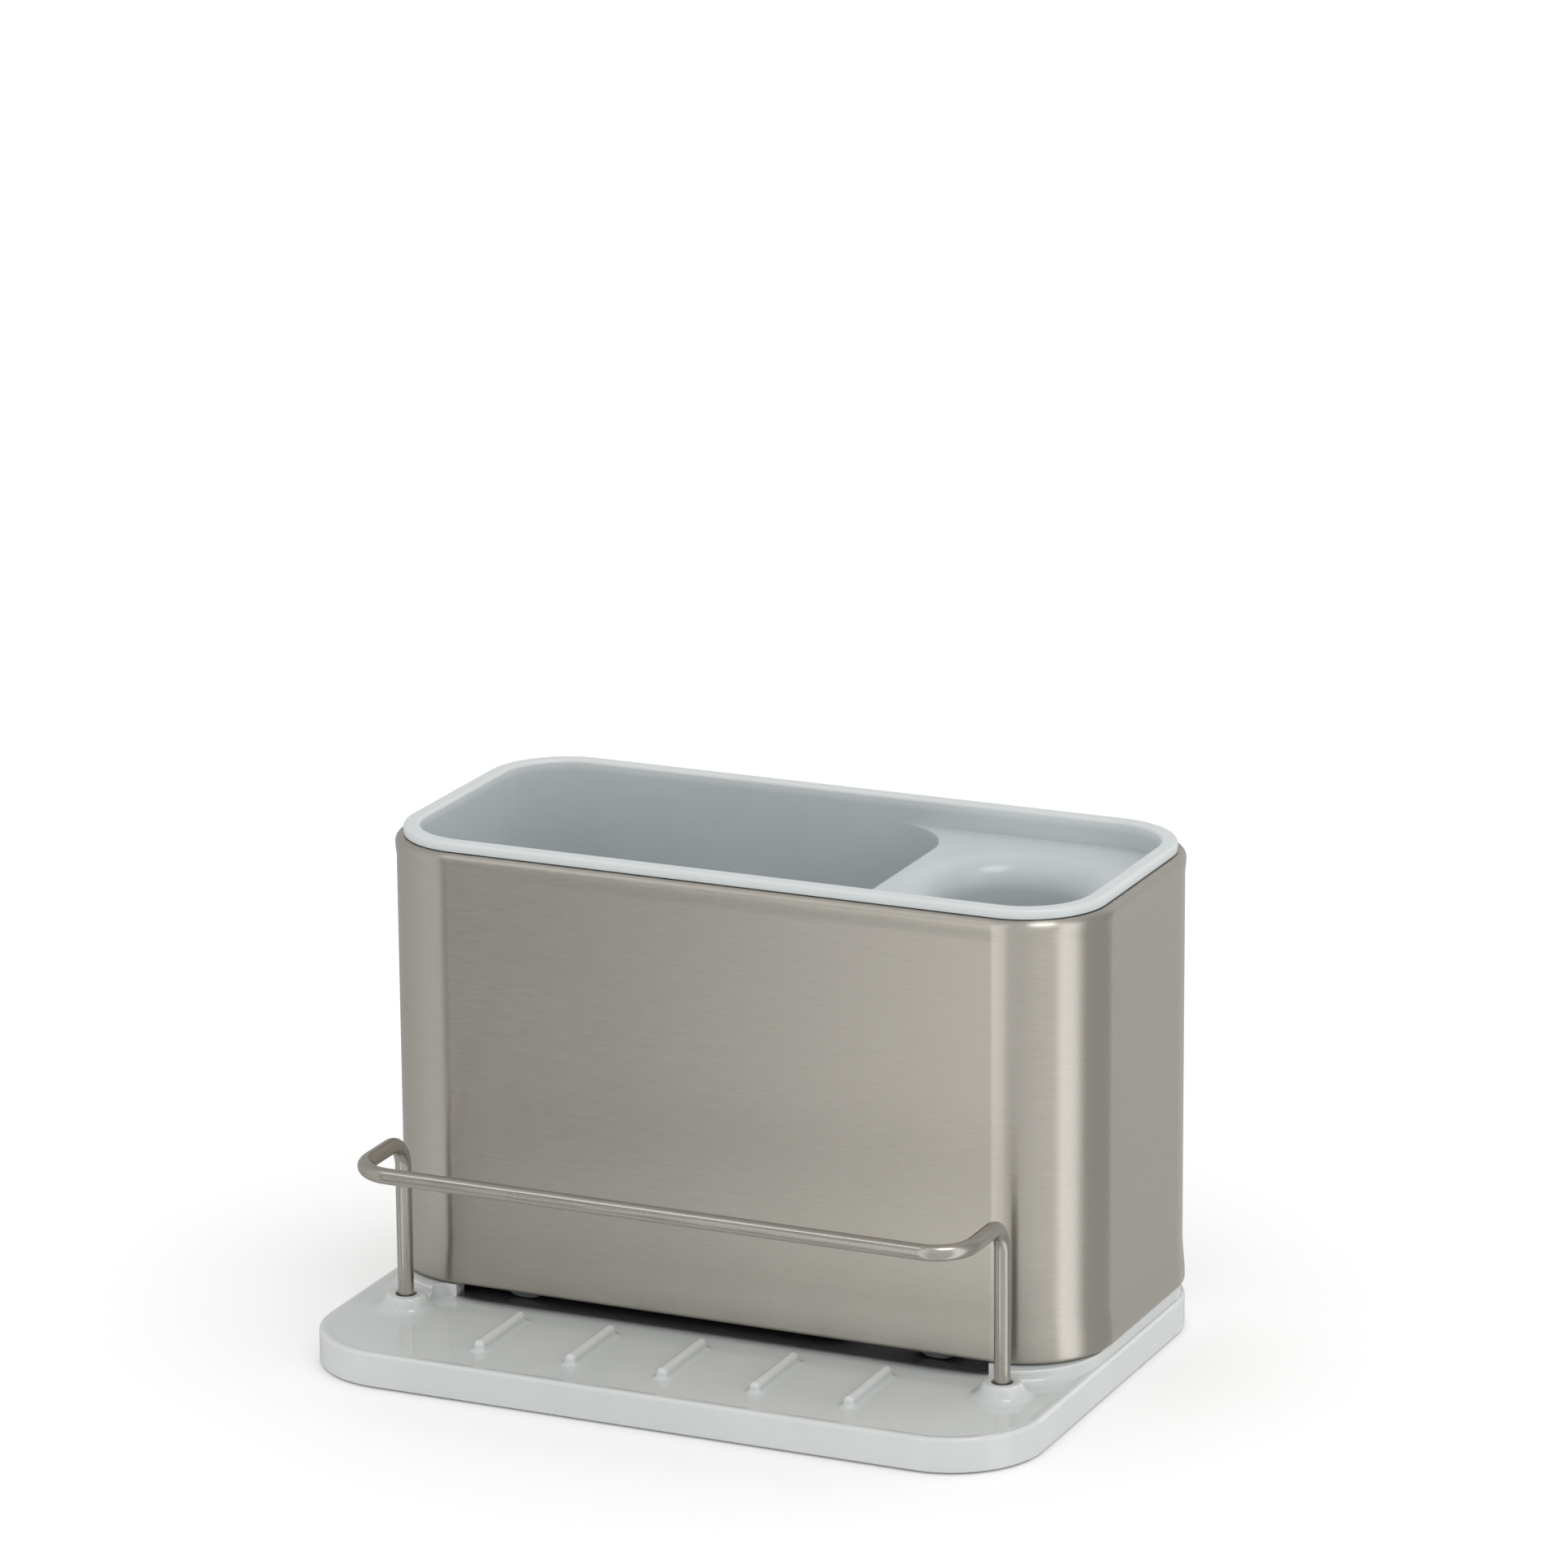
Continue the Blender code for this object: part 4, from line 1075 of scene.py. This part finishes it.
def dress(piece, finish, body, cad_node):
    """Gives a piece its shading and finish and lets it stand for its solid, on that solid's body."""
    piece.data.materials.clear()
    piece.data.materials.append(finish)
    piece.data.polygons.foreach_set("material_index", [0] * len(piece.data.polygons))
    piece.data.shade_smooth()
    piece.data.set_sharp_from_angle(angle=HARD_EDGE)
    evened = piece.modifiers.new("even_normals", "WEIGHTED_NORMAL")
    evened.keep_sharp = True
    evened.weight = LARGEST_FACES
    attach(piece, body)
    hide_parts(cad_node)


def pieces():
    dress(tray_moulding(), tray_plastic(), "base", "base_tray")
    dress(sleeve_shell(), brushed_steel(), "sleeve", "steel_sleeve")
    dress(caddy_moulding(), caddy_plastic(), "caddy", "inner_caddy")
    dress(rail_wire(), satin_wire(), "rail", "sponge_rail")
    rubber = foot_rubber()
    for place in FOOT_PLACES:
        dress(rubber_foot(place), rubber, "base", f"foot_{place}")


# Studio: upright panels round the object, which shiny surfaces show, as (degrees from the front towards
# the right, brightness)
STUDIO_BANDS = (
    (-180, 0.62),
    (-150, 0.46),
    (-110, 0.52),
    (-60, 0.68),
    (-38, 0.68),
    (-34, 0.30),
    (-24.8, 0.26),
    (-22.8, 1.34),
    (-18, 1.34),
    (-13, 1.08),
    (-6, 1.06),
    (-2, 0.72),
    (59, 0.72),
    (68, 1.34),
    (86, 1.32),
    (101, 0.48),
    (149, 0.42),
    (155, 0.65),
    (180, 0.62),
)
# Light that dull surfaces get, and how much it grows upwards and to the right
SKY = 1.04
SKY_RISE = 0.02
SKY_RIGHT = 0.22
# Round lamps overhead that give edges their highlights: each one's direction, half width in degrees and
# brightness; and how far off they hang
SOFTBOXES = (
    ((0.34, -0.20, 0.92), 11.5, 4.0),
    ((-0.40, -0.39, 0.83), 8.0, 1.2),
)
SOFTBOX_FAR = 3.0
# The floor's side, its colour, and its colour as the camera sees it, which is white away from shadows
FLOOR_SIZE = 8.0
FLOOR_COLOUR = 0.92
FLOOR_SEEN = 1.03


def studio_world():
    """White behind the object, even light for dull surfaces, and upright panels for shiny ones."""
    world = bpy.data.worlds.new("studio")
    bpy.context.scene.world = world
    world.use_nodes = True
    world.cycles.sampling_method = "NONE"
    tree = world.node_tree
    tree.nodes.clear()
    way = node(tree, "ShaderNodeTexCoord").outputs["Generated"]
    axes = node(tree, "ShaderNodeSeparateXYZ", {0: way}).outputs
    forward = calculate(tree, "MULTIPLY", axes["Y"], -1.0)
    turn = calculate(tree, "ARCTAN2", axes["X"], forward)
    share = between(tree, turn, 0.0, 1.0, -math.pi, math.pi)
    bands = node(tree, "ShaderNodeValToRGB", {0: share})
    stops = bands.color_ramp.elements
    while len(stops) < len(STUDIO_BANDS):
        stops.new(0.5)
    for stop, (degrees, brightness) in zip(stops, STUDIO_BANDS):
        stop.position = degrees / 360 + 0.5
        stop.color = (brightness, brightness, brightness, 1.0)
    paths = node(tree, "ShaderNodeLightPath").outputs
    rise = calculate(tree, "MULTIPLY_ADD", axes["Z"], SKY_RISE, SKY)
    sky = calculate(tree, "MULTIPLY_ADD", axes["X"], SKY_RIGHT, rise)
    lit = blend(tree, paths["Is Glossy Ray"], sky, bands.outputs[0])
    seen = blend(tree, paths["Is Camera Ray"], lit, WHITE)
    background = node(tree, "ShaderNodeBackground", {"Color": seen})
    node(tree, "ShaderNodeOutputWorld", {"Surface": background.outputs[0]})


def softboxes():
    """Lamps for highlights alone. Dull surfaces, and what bounces off them, are lit by the world."""
    for way, half_width, brightness in SOFTBOXES:
        direction = Vector(way).normalized()
        radius = SOFTBOX_FAR * math.tan(math.radians(half_width))
        data = bpy.data.lights.new("softbox", "AREA")
        data.shape = "DISK"
        data.size = 2 * radius
        area = math.pi * radius**2
        data.energy = brightness * math.pi * area
        data.use_nodes = True
        tree = data.node_tree
        bounces = node(tree, "ShaderNodeLightPath").outputs["Diffuse Depth"]
        direct = calculate(tree, "LESS_THAN", bounces, 1.0)
        tree.links.new(direct, tree.nodes["Emission"].inputs["Strength"])
        lamp = bpy.data.objects.new("softbox", data)
        towards_object = direction.to_track_quat("Z", "Y")
        lamp.matrix_world = Matrix.LocRotScale(direction * SOFTBOX_FAR, towards_object, None)
        lamp.visible_camera = False
        lamp.visible_diffuse = False
        bpy.context.scene.collection.objects.link(lamp)


def floor():
    """Pale floor that keeps the object's shadow. It is clear from below, so that the underside shows."""
    size = FLOOR_SIZE / 2
    mesh = bpy.data.meshes.new("floor")
    corners = [(-size, -size, 0), (size, -size, 0), (size, size, 0), (-size, size, 0)]
    mesh.from_pydata(corners, [], [(0, 1, 2, 3)])
    plane = bpy.data.objects.new("floor", mesh)
    bpy.context.scene.collection.objects.link(plane)
    plane.visible_glossy = False
    made = bpy.data.materials.new("floor")
    made.use_nodes = True
    tree = made.node_tree
    tree.nodes.clear()
    seen = node(tree, "ShaderNodeLightPath").outputs["Is Camera Ray"]
    colour = blend(tree, seen, (FLOOR_COLOUR,) * 3, (FLOOR_SEEN,) * 3)
    pale = node(tree, "ShaderNodeBsdfDiffuse", {"Color": colour})
    clear = node(tree, "ShaderNodeBsdfTransparent")
    below = node(tree, "ShaderNodeNewGeometry").outputs["Backfacing"]
    mix = node(tree, "ShaderNodeMixShader", {0: below, 1: pale.outputs[0], 2: clear.outputs[0]})
    node(tree, "ShaderNodeOutputMaterial", {"Surface": mix.outputs[0]})
    mesh.materials.append(made)


# The photograph's camera: where it looks from, in degrees; its distance and aim, in metres; and its lens
# and sensor, in millimetres
CAMERA_AZIMUTH = 24.322
CAMERA_ELEVATION = 15.764
CAMERA_ROLL = -0.447
CAMERA_DISTANCE = 1.760
CAMERA_AIM = (0.00911, 0.0, 0.14382)
CAMERA_LENS = 167.516
SENSOR = 36.0


def camera():
    azimuth, elevation, roll = (math.radians(a) for a in (CAMERA_AZIMUTH, CAMERA_ELEVATION, CAMERA_ROLL))
    back = Vector(
        (
            math.sin(azimuth) * math.cos(elevation),
            -math.cos(azimuth) * math.cos(elevation),
            math.sin(elevation),
        )
    )
    right = Vector((math.cos(azimuth), math.sin(azimuth), 0.0))
    up = back.cross(right)
    rolled_right = math.cos(roll) * right + math.sin(roll) * up
    rolled_up = math.cos(roll) * up - math.sin(roll) * right
    data = bpy.data.cameras.new("camera")
    data.sensor_width = SENSOR
    data.lens = CAMERA_LENS
    made = bpy.data.objects.new("camera", data)
    bpy.context.scene.collection.objects.link(made)
    place = Matrix((rolled_right, rolled_up, back)).transposed().to_4x4()
    place.translation = Vector(CAMERA_AIM) + back * CAMERA_DISTANCE
    made.matrix_world = place
    bpy.context.scene.camera = made


pieces()
studio_world()
softboxes()
floor()
camera()
bpy.context.scene.view_settings.view_transform = "Standard"
